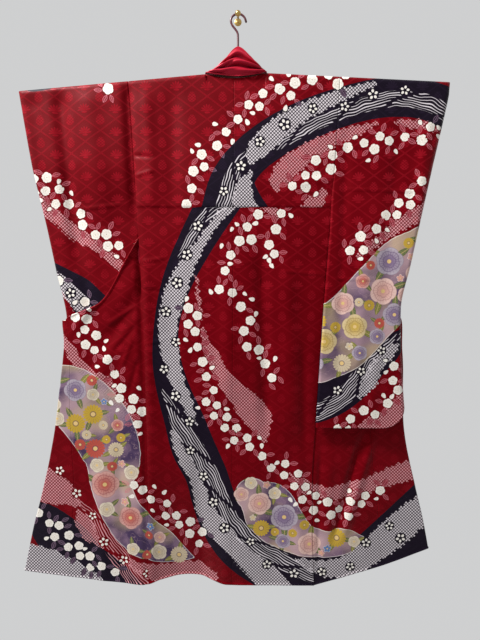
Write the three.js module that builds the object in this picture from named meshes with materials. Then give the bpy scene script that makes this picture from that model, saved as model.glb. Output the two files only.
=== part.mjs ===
// A long-sleeved kimono (furisode) shown open on a hanger that hangs on a brass wall hook.
// Millimetres. X to the viewer's right, Z up, Y into the wall. The origin is the middle of the
// hook plate's back face, where it meets the wall. "out" is the distance in front of the wall
// (-Y), and "drop" is the distance below the shoulder line at the left neck point.
import * as THREE from 'three';

// ---- driving dimensions ------------------------------------------------------------------
const SHOULDER_BELOW_HOOK = 165;   // wall hook to shoulder line
const CLOTH = 2;                   // lined silk, outer and lining together
const COLLAR_CLOTH = 3;            // the collar band is folded double
const SEAM_GAP = 0.3;              // between two sewn pieces
const SLEEVE_WIDTH = 333;
const SLEEVE_LENGTH = 1090;        // shoulder to the sleeve's bottom edge
const SLEEVE_CORNER = 60;          // radius of the rounded bottom corner
const OKUMI_WIDTH = 155;           // overlap panel, at the hem
const COLLAR_WIDTH = 55;           // folded band
const BODY_LENGTH = 1620;          // shoulder to hem
const TUCK_DROP = 392;             // the tuck across the back
const TUCK_STEP = 1.6;             // how far the cloth above the tuck stands proud
const TUCK_EASE = { from: 100, over: 200 };   // the drops over which it comes to stand proud
const FOLD_RADIUS = 11;            // the cloth bends over the hanger arm at this radius
const ROD_OUT = 35;                // hanger arm, distance from the wall
const CENTRE_TOP = -12;            // centre back seam, x at the neck and at the hem
const CENTRE_HEM = -22;
const NECK = { left: -96, right: 84, dip: 12 };
const SLOPE = { left: 0.087, right: 0.047, rightRise: 3 };

// ---- tables: one row for each height or place --------------------------------------------
// side edges of the back panels
const BACK_SIDE = {
  left: [
    { drop: 0, x: -329, out: 46 }, { drop: 230, x: -319, out: 45 },
    { drop: 380, x: -312, out: 47 }, { drop: 476, x: -308, out: 48 },
    { drop: 645, x: -302, out: 50 }, { drop: 1092, x: -295, out: 52 },
    { drop: 1300, x: -295, out: 56 }, { drop: 1620, x: -296, out: 68 },
  ],
  right: [
    { drop: 0, x: 305, out: 46 }, { drop: 225, x: 295, out: 46 },
    { drop: 375, x: 288, out: 44 }, { drop: 650, x: 271, out: 42 },
    { drop: 1092, x: 249, out: 42 }, { drop: 1260, x: 241, out: 47 },
    { drop: 1395, x: 241, out: 53 }, { drop: 1620, x: 250, out: 60 },
  ],
};
const CENTRE_OUT = [
  { drop: 0, out: 47 }, { drop: 600, out: 50 }, { drop: 1092, out: 52 }, { drop: 1620, out: 59 },
];
// the deep flute at the left of the back hem, where the cloth swings in to the wall
const HEM_FLUTE = [
  { x: -300, sink: 0 }, { x: -262, sink: 30 }, { x: -184, sink: 48 }, { x: -130, sink: 46 },
  { x: -80, sink: 22 }, { x: -40, sink: 4 }, { x: 0, sink: 0 },
];
const FLUTE_START = 1040;          // drop at which the flute begins
const HEM_LINE = [
  { x: -711, drop: 1578 }, { x: -556, drop: 1590 }, { x: -443, drop: 1601 },
  { x: -296, drop: 1616 }, { x: -160, drop: 1606 }, { x: -40, drop: 1619 },
  { x: 250, drop: 1620 }, { x: 325, drop: 1607 }, { x: 405, drop: 1586 },
  { x: 480, drop: 1562 }, { x: 634, drop: 1507 },
];
// Front panels: each row is one straight line of the cloth, from the side edge (side...) to
// the collar line and then the overlap seam (edge...). At the shoulder it runs to the neck,
// and it turns over on its way down, so that the panel opens outwards below.
const FRONT = {
  left: [
    { sideX: -328, sideDrop: 34, sideOut: 24, edgeX: -100, edgeDrop: 14, edgeOut: 24 },
    { sideX: -319, sideDrop: 228, sideOut: 24, edgeX: -143, edgeDrop: 118, edgeOut: 21 },
    { sideX: -308, sideDrop: 390, sideOut: 41, edgeX: -180, edgeDrop: 200, edgeOut: 18 },
    { sideX: -303, sideDrop: 520, sideOut: 44, edgeX: -228, edgeDrop: 302, edgeOut: 18 },
    { sideX: -300, sideDrop: 640, sideOut: 46, edgeX: -276, edgeDrop: 405, edgeOut: 23 },
    { sideX: -299, sideDrop: 700, sideOut: 46, edgeX: -309, edgeDrop: 478, edgeOut: 35 },
    { sideX: -299, sideDrop: 735, sideOut: 47, edgeX: -354, edgeDrop: 558, edgeOut: 41 },
    { sideX: -298, sideDrop: 765, sideOut: 47, edgeX: -433, edgeDrop: 683, edgeOut: 43 },
    { sideX: -298, sideDrop: 800, sideOut: 47, edgeX: -543, edgeDrop: 742, edgeOut: 41 },
    { sideX: -297, sideDrop: 880, sideOut: 48, edgeX: -533, edgeDrop: 830, edgeOut: 43 },
    { sideX: -296, sideDrop: 1060, sideOut: 49, edgeX: -539, edgeDrop: 1045, edgeOut: 45 },
    { sideX: -296.2, sideDrop: 1300, sideOut: 54, edgeX: -534, edgeDrop: 1281, edgeOut: 48 },
    { sideX: -296.6, sideDrop: 1450, sideOut: 60, edgeX: -547, edgeDrop: 1435, edgeOut: 51 },
    { sideX: -297.4, sideDrop: 1616, sideOut: 67, edgeX: -556, edgeDrop: 1590, edgeOut: 56 },
  ],
  right: [
    { sideX: 304, sideDrop: 26, sideOut: 24, edgeX: 88, edgeDrop: 11, edgeOut: 24 },
    { sideX: 293, sideDrop: 223, sideOut: 24, edgeX: 130, edgeDrop: 118, edgeOut: 20 },
    { sideX: 284, sideDrop: 385, sideOut: 38, edgeX: 168, edgeDrop: 205, edgeOut: 17 },
    { sideX: 275, sideDrop: 520, sideOut: 38, edgeX: 215, edgeDrop: 308, edgeOut: 14 },
    { sideX: 269, sideDrop: 640, sideOut: 38, edgeX: 262, edgeDrop: 408, edgeOut: 14 },
    { sideX: 266, sideDrop: 700, sideOut: 38, edgeX: 300, edgeDrop: 480, edgeOut: 16 },
    { sideX: 264, sideDrop: 740, sideOut: 38, edgeX: 355, edgeDrop: 565, edgeOut: 20 },
    { sideX: 262, sideDrop: 780, sideOut: 38, edgeX: 430, edgeDrop: 665, edgeOut: 22 },
    { sideX: 260, sideDrop: 820, sideOut: 38, edgeX: 506, edgeDrop: 736, edgeOut: 22 },
    { sideX: 257, sideDrop: 890, sideOut: 38, edgeX: 474, edgeDrop: 850, edgeOut: 25 },
    { sideX: 247, sideDrop: 1110, sideOut: 39, edgeX: 430, edgeDrop: 1100, edgeOut: 31 },
    { sideX: 242, sideDrop: 1310, sideOut: 47, edgeX: 453, edgeDrop: 1302, edgeOut: 35 },
    { sideX: 244, sideDrop: 1440, sideOut: 53, edgeX: 466, edgeDrop: 1432, edgeOut: 37 },
    { sideX: 251, sideDrop: 1620, sideOut: 58, edgeX: 480, edgeDrop: 1562, edgeOut: 40 },
  ],
};
// the overlap panels: how much shows before the cloth rolls back behind itself
const OKUMI = {
  left: [
    { drop: 742, shows: 12, out: 39 }, { drop: 952, shows: 33, out: 41 },
    { drop: 1071, shows: 49, out: 42 }, { drop: 1191, shows: 76, out: 42 },
    { drop: 1313, shows: 107, out: 43 }, { drop: 1438, shows: 129, out: 43 },
    { drop: 1590, shows: 155, out: 42 },
  ],
  right: [
    { drop: 736, shows: 14, out: 22 }, { drop: 915, shows: 74, out: 23 },
    { drop: 1100, shows: 111, out: 25 }, { drop: 1302, shows: 131, out: 28 },
    { drop: 1432, shows: 147, out: 30 }, { drop: 1562, shows: 155, out: 32 },
  ],
};
const OKUMI_ROLL = 4.5;            // radius of the overlap panel's rolled edge
// sleeves: the inner edge, what shows before the outer part curls back, and both layers
const SLEEVE = {
  left: [
    { drop: 0, innerX: -329.5, outerX: -661, back: 46, front: 24 },
    { drop: 225, innerX: -320.3, outerX: -632, back: 45, front: 24 },
    { drop: 310, innerX: -317, outerX: -618, back: 38, front: 22 },
    { drop: 345, innerX: -314, outerX: -612, back: 34, front: 21 },
    { drop: 390, innerX: -305, outerX: -604, back: 30, front: 20 },
    { drop: 430, innerX: -303, outerX: -597, back: 28, front: 20 },
    { drop: 470, innerX: -313, outerX: -590, back: 28, front: 20 },
    { drop: 560, innerX: -330, outerX: -575, back: 28, front: 20 },
    { drop: 735, innerX: -335, outerX: -546, back: 28, front: 20 },
    { drop: 1090, innerX: -338, outerX: -546, back: 28, front: 20 },
  ],
  right: [
    { drop: 0, innerX: 305.5, outerX: 644, back: 46, front: 24 },
    { drop: 225, innerX: 295.5, outerX: 601, back: 46, front: 25 },
    { drop: 370, innerX: 289, outerX: 572, back: 50, front: 33 },
    { drop: 480, innerX: 284.5, outerX: 550, back: 53.5, front: 41 },
    { drop: 560, innerX: 279, outerX: 534, back: 56, front: 47 },
    { drop: 700, innerX: 270, outerX: 508, back: 59, front: 48.5 },
    { drop: 1090, innerX: 251, outerX: 530, back: 62, front: 50 },
  ],
};
const CURL_RADIUS = 4;             // the inner layer's bend, where the outer part curls back
const CURL_GAP = 5;                // between the two layers behind the bend
const CURL_INSIDE = 9;             // how far the inner layer's bend stays inside the outer's
// the open collar at the back of the neck, from one shoulder round to the other:
// the sewn edge (seam...) and the free edge (free...), which rises to a peak at the hook
const COLLAR_BACK = [
  { seamX: -99, seamDrop: 6, seamOut: 20, freeX: -47, freeDrop: 4, freeOut: 17 },
  { seamX: -99, seamDrop: -3, seamOut: 34, freeX: -58, freeDrop: -5, freeOut: 26 },
  { seamX: -94, seamDrop: -1, seamOut: 50, freeX: -66, freeDrop: -9, freeOut: 38 },
  { seamX: -52, seamDrop: 7, seamOut: 52, freeX: -37, freeDrop: -44, freeOut: 44 },
  { seamX: -4, seamDrop: 11, seamOut: 53, freeX: 0, freeDrop: -77, freeOut: 43 },
  { seamX: 46, seamDrop: 6, seamOut: 52, freeX: 36, freeDrop: -50, freeOut: 44 },
  { seamX: 82, seamDrop: -4, seamOut: 50, freeX: 71, freeDrop: -12, freeOut: 38 },
  { seamX: 87, seamDrop: -6, seamOut: 34, freeX: 58, freeDrop: -8, freeOut: 26 },
  { seamX: 87, seamDrop: 3, seamOut: 20, freeX: 40, freeDrop: 1, freeOut: 17 },
];
const COLLAR_FOLDS = 3;            // soft folds across the open collar
const COLLAR_FOLD_DEPTH = 3;
const COLLAR_BULGE = 5;            // how far the open collar bulges at its middle
const COLLAR_FOLDS_FROM = 0.22;    // share of the collar's length with no fold, at each end
const FOLD_FADE = 0.25;            // share of a fold's length over which each end fades
// soft folds: a trough (depth below 0) or ridge along a straight line, fading at its ends
const FOLDS = [
  { on: 'front_right', x0: 428, drop0: 1105, x1: 341, drop1: 1400, half: 26, depth: -7 },
  { on: 'front_left', x0: -330, drop0: 800, x1: -320, drop1: 1500, half: 14, depth: -6 },
  { on: 'front_left', x0: -345, drop0: 760, x1: -500, drop1: 1010, half: 26, depth: 5 },
  { on: 'back_right', x0: 150, drop0: 330, x1: 300, drop1: 300, half: 12, depth: 2 },
  { on: 'back_left', x0: -290, drop0: 520, x1: -270, drop1: 1150, half: 20, depth: 4 },
];

// ---- small helpers -----------------------------------------------------------------------
const mix = (a, b, t) => a + (b - a) * t;
const clamp01 = (t) => Math.min(1, Math.max(0, t));
const ease = (t) => clamp01(t) ** 2 * (3 - 2 * clamp01(t));
const point = (x, drop, out) => new THREE.Vector3(x, -out, -SHOULDER_BELOW_HOOK - drop);
const steps = (from, to, count) =>
  Array.from({ length: count + 1 }, (_, i) => mix(from, to, i / count));

// A smooth curve through one column of a table, with no overshoot between its rows.
function along(table, key, column, at) {
  const last = table.length - 1;
  const value = Math.min(Math.max(at, table[0][key]), table[last][key]);
  let i = 0;
  while (i < last - 1 && value > table[i + 1][key]) i += 1;
  const width = (k) => table[k + 1][key] - table[k][key];
  const slope = (k) => (table[k + 1][column] - table[k][column]) / width(k);
  const tangent = (k) => {
    if (k === 0) return slope(0);
    if (k === last) return slope(last - 1);
    const product = slope(k - 1) * slope(k);
    return product <= 0 ? 0 : 2 * product / (slope(k - 1) + slope(k));
  };
  const t = (value - table[i][key]) / width(i);
  const [t2, t3] = [t * t, t * t * t];
  return (2 * t3 - 3 * t2 + 1) * table[i][column] + (t3 - 2 * t2 + t) * width(i) * tangent(i)
    + (3 * t2 - 2 * t3) * table[i + 1][column] + (t3 - t2) * width(i) * tangent(i + 1);
}

// The same for a table with no key column: v runs from 0 at its first row to 1 at its last.
function alongRows(table, column, v) {
  const rows = table.map((row, i) => ({ i, value: row[column] }));
  return along(rows, 'i', 'value', v * (table.length - 1));
}

// How far the folds of one panel move the point (x, drop) away from the wall.
function foldLift(panel, x, drop) {
  let lift = 0;
  for (const fold of FOLDS.filter((row) => row.on === panel)) {
    const [dx, dz] = [fold.x1 - fold.x0, fold.drop1 - fold.drop0];
    const length = Math.hypot(dx, dz);
    const t = ((x - fold.x0) * dx + (drop - fold.drop0) * dz) / length ** 2;
    const across = ((x - fold.x0) * dz - (drop - fold.drop0) * dx) / length;
    const fade = ease(t / FOLD_FADE) * ease((1 - t) / FOLD_FADE);
    lift += fold.depth * fade * Math.exp(-((across / fold.half) ** 2));
  }
  return lift;
}

// A cloth wall: place(u, v) gives the middle of the cloth, and each point is moved half the
// thickness along the surface's normal to both sides. Its edges stop half a seam gap short.
function sheet(us, vs, place, thickness = CLOTH) {
  const [nu, nv] = [us.length, vs.length];
  const grid = us.map((u) => vs.map((v) => place(u, v)));
  const normals = grid.map((column, i) => column.map((_, j) => {
    const du = grid[Math.min(i + 1, nu - 1)][j].clone().sub(grid[Math.max(i - 1, 0)][j]);
    const dv = grid[i][Math.min(j + 1, nv - 1)].clone().sub(grid[i][Math.max(j - 1, 0)]);
    return du.cross(dv).normalize();
  }));
  const inset = (edge, inner) =>
    edge.clone().add(inner.clone().sub(edge).setLength(SEAM_GAP / 2));
  const middle = grid.map((column, i) => column.map((p, j) => {
    const q = p.clone();
    if (i === 0) q.copy(inset(q, grid[1][j]));
    if (i === nu - 1) q.copy(inset(q, grid[nu - 2][j]));
    if (j === 0) q.copy(inset(q, grid[i][1]));
    if (j === nv - 1) q.copy(inset(q, grid[i][nv - 2]));
    return q;
  }));
  const positions = [];
  for (const side of [0.5, -0.5]) {
    middle.forEach((column, i) => column.forEach((p, j) => {
      positions.push(...p.clone().addScaledVector(normals[i][j], side * thickness).toArray());
    }));
  }
  const at = (i, j, side) => side * nu * nv + i * nv + j;
  const faces = [];
  const quad = (a, b, c, d) => faces.push(a, b, c, a, c, d);
  for (let i = 0; i < nu - 1; i += 1) {
    for (let j = 0; j < nv - 1; j += 1) {
      quad(at(i, j, 0), at(i + 1, j, 0), at(i + 1, j + 1, 0), at(i, j + 1, 0));
      quad(at(i, j, 1), at(i, j + 1, 1), at(i + 1, j + 1, 1), at(i + 1, j, 1));
    }
    quad(at(i, 0, 0), at(i, 0, 1), at(i + 1, 0, 1), at(i + 1, 0, 0));
    quad(at(i, nv - 1, 0), at(i + 1, nv - 1, 0), at(i + 1, nv - 1, 1), at(i, nv - 1, 1));
  }
  for (let j = 0; j < nv - 1; j += 1) {
    quad(at(0, j, 0), at(0, j + 1, 0), at(0, j + 1, 1), at(0, j, 1));
    quad(at(nu - 1, j, 0), at(nu - 1, j, 1), at(nu - 1, j + 1, 1), at(nu - 1, j + 1, 0));
  }
  return solid(positions, faces);
}

// A geometry from points and triangles, turned so that its faces point out.
function solid(positions, faces) {
  const corner = (k) => new THREE.Vector3().fromArray(positions, 3 * k);
  let volume = 0;
  for (let f = 0; f < faces.length; f += 3) {
    volume += corner(faces[f]).dot(corner(faces[f + 1]).cross(corner(faces[f + 2])));
  }
  const outward = volume > 0 ? faces : faces.toReversed();
  const geometry = new THREE.BufferGeometry();
  geometry.setAttribute('position', new THREE.Float32BufferAttribute(positions, 3));
  geometry.setIndex(outward);
  geometry.computeVertexNormals();
  return geometry;
}

// The shoulder line falls away from the neck on both sides.
function shoulderDrop(x) {
  if (x < NECK.left) return SLOPE.left * (NECK.left - x);
  if (x > NECK.right) return SLOPE.right * (x - NECK.right) - SLOPE.rightRise;
  return mix(0, -SLOPE.rightRise, (x - NECK.left) / (NECK.right - NECK.left));
}

const QUARTER = FOLD_RADIUS * Math.PI / 2;
const HANG_OUT = ROD_OUT + FOLD_RADIUS;
const FOLD_STATIONS = [0.02, 0.34, 0.67].map((share) => share * QUARTER);

// Cloth that lies over the hanger arm: s is the way down the cloth from the top of the fold,
// and side is +1 for the layer on the viewer's side and -1 for the one towards the wall.
function overArm(s, side) {
  if (s < QUARTER) {
    const angle = s / FOLD_RADIUS;
    return {
      drop: FOLD_RADIUS * (1 - Math.cos(angle)),
      out: ROD_OUT + side * FOLD_RADIUS * Math.sin(angle),
    };
  }
  return { drop: FOLD_RADIUS + s - QUARTER, out: ROD_OUT + side * FOLD_RADIUS };
}

// ---- the back panels ---------------------------------------------------------------------
const BACK_COLUMNS = [0, 0.14, 0.225, 0.265, 0.38, 0.49, 0.6, 0.72, 0.83, 0.93, 1];
const BACK_ROWS = [
  ...FOLD_STATIONS, QUARTER, 60, 130, 215, 300, TUCK_DROP - 14, TUCK_DROP, TUCK_DROP + 14,
  ...steps(470, BODY_LENGTH, 20),
];

function backOut(name, x, drop, u, side) {
  const flat = mix(along(CENTRE_OUT, 'drop', 'out', drop), along(side, 'drop', 'out', drop), u);
  const swing = clamp01((drop - FLUTE_START) / (BODY_LENGTH - FLUTE_START)) ** 1.4;
  const sink = along(HEM_FLUTE, 'x', 'sink', x) * swing;
  const eased = TUCK_STEP * ease((drop - TUCK_EASE.from) / TUCK_EASE.over);
  const proud = drop < TUCK_DROP ? eased : 0;
  return flat - sink + proud + foldLift(name, x, drop);
}

function backPanel(name, hand) {
  const side = BACK_SIDE[hand];
  const neckX = NECK[hand];
  return sheet(BACK_COLUMNS, BACK_ROWS, (u, s) => {
    const fold = overArm(s, 1);
    const topX = mix(CENTRE_TOP, along(side, 'drop', 'x', 0), u);
    const inNeck = Math.abs(topX - CENTRE_TOP) < Math.abs(neckX - CENTRE_TOP) - 1;
    const neckShare = clamp01((topX - CENTRE_TOP) / (neckX - CENTRE_TOP));
    const top = inNeck
      ? shoulderDrop(topX) + NECK.dip * (1 - neckShare ** 2) + 3
      : shoulderDrop(topX);
    const share = s / BODY_LENGTH;
    const hemX = mix(CENTRE_HEM, along(side, 'drop', 'x', BODY_LENGTH), u);
    const hem = along(HEM_LINE, 'x', 'drop', hemX);
    const level = inNeck ? s : fold.drop + (QUARTER - FOLD_RADIUS) * share;
    const drop = level + top * (1 - share) + (hem - BODY_LENGTH) * share;
    const x = mix(mix(CENTRE_TOP, CENTRE_HEM, share), along(side, 'drop', 'x', drop), u);
    const hanging = backOut(name, x, drop, u, side);
    const out = inNeck || s >= QUARTER ? hanging : fold.out + (hanging - HANG_OUT) * (s / QUARTER);
    return point(x, drop, out);
  });
}

// ---- the front panels --------------------------------------------------------------------
const FRONT_COLUMNS = steps(0, 1, 8);
const FRONT_STEPS = 39;            // three for each row of the table
const FRONT_ROWS = [...FOLD_STATIONS.map((s) => s / QUARTER - 1), ...steps(0, 1, FRONT_STEPS)];

function frontPoint(name, hand, u, v) {
  const table = FRONT[hand];
  const row = (column, at) => alongRows(table, column, at);
  if (v < 0) {
    const fold = overArm((v + 1) * QUARTER, -1);
    const x = mix(row('sideX', 0), row('edgeX', 0), u);
    return point(x, fold.drop + shoulderDrop(x), fold.out);
  }
  const x = mix(row('sideX', v), row('edgeX', v), u);
  const drop = mix(row('sideDrop', v), row('edgeDrop', v), u);
  const out = mix(row('sideOut', v), row('edgeOut', v), u);
  const inside = ease(u * 5) * ease((1 - u) * 5);
  return point(x, drop, out + foldLift(name, x, drop) * inside);
}

function frontPanel(name, hand) {
  return sheet(FRONT_COLUMNS, FRONT_ROWS, (u, v) => frontPoint(name, hand, u, v));
}

// How much of a rolled piece is flat before its bend, where `shows` is all that is seen.
const flatPart = (shows, radius, width) => Math.min(Math.max(2, shows - radius), width - radius);

// Cloth that runs flat and then rolls back towards the wall: the place after s millimetres,
// as a distance sideways and a distance back.
function rolled(s, straight, radius) {
  if (s <= straight) return { along: s, back: 0 };
  const angle = (s - straight) / radius;
  if (angle <= Math.PI) {
    return { along: straight + radius * Math.sin(angle), back: radius * (1 - Math.cos(angle)) };
  }
  return { along: straight - (s - straight - Math.PI * radius), back: 2 * radius };
}

// Stations across a rolled piece: flat part, bend and return each keep their own columns.
function rolledStation(u, straight, radius, width) {
  const rest = width - straight;
  const bend = Math.min(Math.PI * radius, 0.8 * rest);
  if (u < 0.4) return straight * u / 0.4;
  if (u < 0.8) return straight + bend * (u - 0.4) / 0.4;
  return straight + bend + (rest - bend) * (u - 0.8) / 0.2;
}

// ---- the overlap panels (okumi) ----------------------------------------------------------
const OKUMI_FIRST = 8 / 13;        // the front panel's row at which the overlap panel begins
const OKUMI_STEPS = Math.round(FRONT_STEPS * (1 - OKUMI_FIRST));
const OKUMI_COLUMNS = [0, 0.13, 0.27, 0.4, 0.5, 0.6, 0.7, 0.8, 1];

function okumiPanel(hand) {
  const sign = hand === 'left' ? -1 : 1;
  const table = OKUMI[hand];
  return sheet(OKUMI_COLUMNS, steps(0, 1, OKUMI_STEPS), (u, t) => {
    const v = mix(OKUMI_FIRST, 1, t);
    const seam = frontPoint(`front_${hand}`, hand, 1, v);
    const drop = -seam.z - SHOULDER_BELOW_HOOK;
    const shows = along(table, 'drop', 'shows', drop);
    const straight = flatPart(shows, OKUMI_ROLL, OKUMI_WIDTH);
    const s = rolledStation(u, straight, OKUMI_ROLL, OKUMI_WIDTH);
    const roll = rolled(s, straight, OKUMI_ROLL);
    const toEdge = roll.along / Math.max(shows, 1);
    const seamOut = -seam.y;
    const out = mix(seamOut, along(table, 'drop', 'out', drop), clamp01(toEdge)) - roll.back;
    const x = seam.x + sign * roll.along;
    const rise = along(HEM_LINE, 'x', 'drop', x) - along(HEM_LINE, 'x', 'drop', seam.x);
    return point(x, drop + rise * t ** 3, out);
  });
}

// ---- the sleeves -------------------------------------------------------------------------
const SLEEVE_COLUMNS = [0, 0.1, 0.2, 0.3, 0.4, 0.5, 0.6, 0.7, 0.8, 0.93, 1];
const SLEEVE_ROWS = [
  ...FOLD_STATIONS, QUARTER, 60, 120, 170, 215, 260, 310, 365, 420,
  ...steps(490, SLEEVE_LENGTH - 70, 9), SLEEVE_LENGTH - 35, SLEEVE_LENGTH,
];

function sleeveLayer(hand, layer) {
  const sign = hand === 'left' ? -1 : 1;
  const table = SLEEVE[hand];
  const side = layer === 'back' ? 1 : -1;
  const curlX = layer === 'back' ? 0 : CURL_INSIDE;
  return sheet(SLEEVE_COLUMNS, SLEEVE_ROWS, (u, s) => {
    const fold = overArm(s, side);
    const innerX = along(table, 'drop', 'innerX', fold.drop);
    const outerX = along(table, 'drop', 'outerX', fold.drop);
    const shows = sign * (outerX - innerX) - curlX;
    const hanging = along(table, 'drop', layer, fold.drop);
    const between = hanging - along(table, 'drop', 'front', fold.drop);
    const radius = CURL_RADIUS + (layer === 'back' ? (between + CURL_GAP) / 2 : 0);
    const width = SLEEVE_WIDTH - 2 * curlX;
    const straight = flatPart(shows, radius, width);
    const across = rolledStation(u, straight, radius, width);
    const roll = rolled(across, straight, radius);
    const x = innerX + sign * roll.along;
    const corner = clamp01((across - (width - SLEEVE_CORNER)) / SLEEVE_CORNER);
    const cut = SLEEVE_CORNER * (1 - Math.sqrt(1 - corner ** 2));
    const share = s / SLEEVE_LENGTH;
    const drop = fold.drop - cut * share ** 8 + shoulderDrop(x) * (1 - share);
    const out = s < QUARTER ? fold.out : hanging;
    return point(x, drop, out - roll.back * ease(s / QUARTER));
  });
}

// ---- the collar --------------------------------------------------------------------------
function collarBack() {
  return sheet(steps(0, 1, 24), steps(0, 1, 8), (u, v) => {
    const row = (column) => alongRows(COLLAR_BACK, column, u);
    const behindNeck = ease((Math.min(u, 1 - u) - COLLAR_FOLDS_FROM) * 6);
    const wave = Math.sin(Math.PI * 2 * COLLAR_FOLDS * v) * Math.sin(Math.PI * v);
    const lift = behindNeck * (COLLAR_FOLD_DEPTH * wave + COLLAR_BULGE * Math.sin(Math.PI * v));
    return point(
      mix(row('seamX'), row('freeX'), v),
      mix(row('seamDrop'), row('freeDrop'), v),
      mix(row('seamOut'), row('freeOut'), v) + lift,
    );
  }, CLOTH);
}

// A collar band follows the front panel's collar line on the side towards the wall. It lies
// square to that line, and ends where the overlap panel's front edge is held out.
const COLLAR_BEHIND = 5.5;
const COLLAR_LEAN = 8;             // where the front turns over, the band leans to the wall
const COLLAR_AIM = 0.05;           // share of the line over which the band takes its direction
const COLLAR_AIM_END = 0.91;       // past here the band keeps one direction
const LEAN_AT = 0.66;              // where along the line it leans most, and over what share
const LEAN_SPAN = 0.13;

function collarBand(hand) {
  const sign = hand === 'left' ? -1 : 1;
  const line = (v) => frontPoint(`front_${hand}`, hand, 1, v * OKUMI_FIRST);
  return sheet([0, 0.5, 1], steps(0, 1, 26), (u, v) => {
    const near = Math.min(Math.max(v, COLLAR_AIM), COLLAR_AIM_END);
    const run = line(near + COLLAR_AIM).sub(line(near - COLLAR_AIM)).setY(0).normalize();
    const square = new THREE.Vector3(-run.z, 0, run.x).multiplyScalar(-sign);
    if (square.x * sign > 0) square.negate();
    const p = line(v).addScaledVector(square, COLLAR_WIDTH * u);
    const lean = COLLAR_LEAN * u * Math.exp(-(((v - LEAN_AT) / LEAN_SPAN) ** 2));
    return p.setY(p.y + COLLAR_BEHIND + lean);
  }, COLLAR_CLOTH);
}

// ---- hanger and wall hook ----------------------------------------------------------------
const WIRE_RADIUS = 3.2;
const HOOK_PATH = [                // the hanger's hook, from its tip down to the arms
  { x: 24, z: -15 }, { x: 20, z: -4 }, { x: 11, z: 4.5 }, { x: 0, z: 7 }, { x: -11, z: 4 },
  { x: -19, z: -4 }, { x: -21, z: -14 }, { x: -17, z: -25 }, { x: -9, z: -35 },
  { x: -2, z: -45 }, { x: 0, z: -58 }, { x: 0, z: -100 },
];
const ARM = { height: 14, depth: 12, bevel: 2, below: 3.4, left: -636, right: 618 };
const PLATE = { radius: 11, thick: 3, stem: 3, ball: 8.5, ballOut: 52 };

function armTop(x) {
  const slope = x < 0 ? SLOPE.left * (NECK.left - x) : SLOPE.right * (x - NECK.right);
  const rise = x < 0 ? 0 : SLOPE.rightRise;
  return -SHOULDER_BELOW_HOOK - slope + rise - ARM.below;
}

function hangerArms() {
  const inset = ARM.bevel;
  const peak = Math.min(armTop(-1), armTop(1));
  const outline = new THREE.Shape();
  outline.moveTo(ARM.left + inset, armTop(ARM.left) - inset);
  outline.lineTo(0, peak - inset);
  outline.lineTo(ARM.right - inset, armTop(ARM.right) - inset);
  outline.lineTo(ARM.right - inset, armTop(ARM.right) - ARM.height + inset);
  outline.lineTo(0, peak - ARM.height + inset);
  outline.lineTo(ARM.left + inset, armTop(ARM.left) - ARM.height + inset);
  const depth = ARM.depth - 2 * inset;
  const geometry = new THREE.ExtrudeGeometry(outline, {
    depth, bevelThickness: inset, bevelSize: inset, bevelSegments: 2, curveSegments: 1,
  });
  geometry.translate(0, 0, -depth / 2);
  geometry.rotateX(Math.PI / 2);
  geometry.translate(0, -ROD_OUT, 0);
  return geometry;
}

function hangerHook() {
  const foot = Math.min(armTop(-1), armTop(1)) + SEAM_GAP;
  const path = HOOK_PATH.map(({ x, z }) => new THREE.Vector3(x, -ROD_OUT, z));
  path.push(new THREE.Vector3(0, -ROD_OUT, foot));
  const section = new THREE.Shape().absarc(0, 0, WIRE_RADIUS, 0, 2 * Math.PI);
  return new THREE.ExtrudeGeometry(section, {
    extrudePath: new THREE.CatmullRomCurve3(path), steps: 56, curveSegments: 5,
    bevelEnabled: false,
  });
}

function wallHook() {
  const neck = Math.acos(PLATE.stem / PLATE.ball);
  const profile = [
    new THREE.Vector2(0, 0), new THREE.Vector2(PLATE.radius, 0),
    new THREE.Vector2(PLATE.radius, -PLATE.thick * 0.6),
    new THREE.Vector2(PLATE.radius - 2, -PLATE.thick),
    new THREE.Vector2(PLATE.stem, -PLATE.thick - 1),
  ];
  for (const angle of steps(neck, -Math.PI / 2, 9)) {
    const [r, y] = [Math.cos(angle) * PLATE.ball, Math.sin(angle) * PLATE.ball];
    profile.push(new THREE.Vector2(Math.max(0, r), y - PLATE.ballOut));
  }
  profile[profile.length - 1].x = 0;
  return new THREE.LatheGeometry(profile.reverse(), 20);
}

// ---- the object --------------------------------------------------------------------------
const material = (color, roughness, metalness = 0) =>
  new THREE.MeshStandardMaterial({ color, roughness, metalness, side: THREE.DoubleSide });
const silk = () => material(0x8c1226, 0.55);
const kimono = new THREE.Group();

function add(parent, name, geometry, finish) {
  const mesh = new THREE.Mesh(geometry, finish);
  mesh.name = name;
  parent.add(mesh);
}

const garment = new THREE.Group();
for (const hand of ['left', 'right']) {
  add(garment, `back_${hand}`, backPanel(`back_${hand}`, hand), silk());
  add(garment, `front_${hand}`, frontPanel(`front_${hand}`, hand), silk());
  add(garment, `okumi_${hand}`, okumiPanel(hand), silk());
  add(garment, `sleeve_${hand}_back`, sleeveLayer(hand, 'back'), silk());
  add(garment, `sleeve_${hand}_front`, sleeveLayer(hand, 'front'), silk());
  add(garment, `collar_${hand}`, collarBand(hand), silk());
}
add(garment, 'collar_back', collarBack(), silk());
kimono.add(garment);

const hanger = new THREE.Group();
add(hanger, 'hanger_arms', hangerArms(), material(0x4a2a20, 0.5));
add(hanger, 'hanger_hook', hangerHook(), material(0x4b232b, 0.4, 0.3));
kimono.add(hanger);
add(kimono, 'wall_hook', wallHook(), material(0xa8873a, 0.3, 1));

export default kimono;
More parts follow.
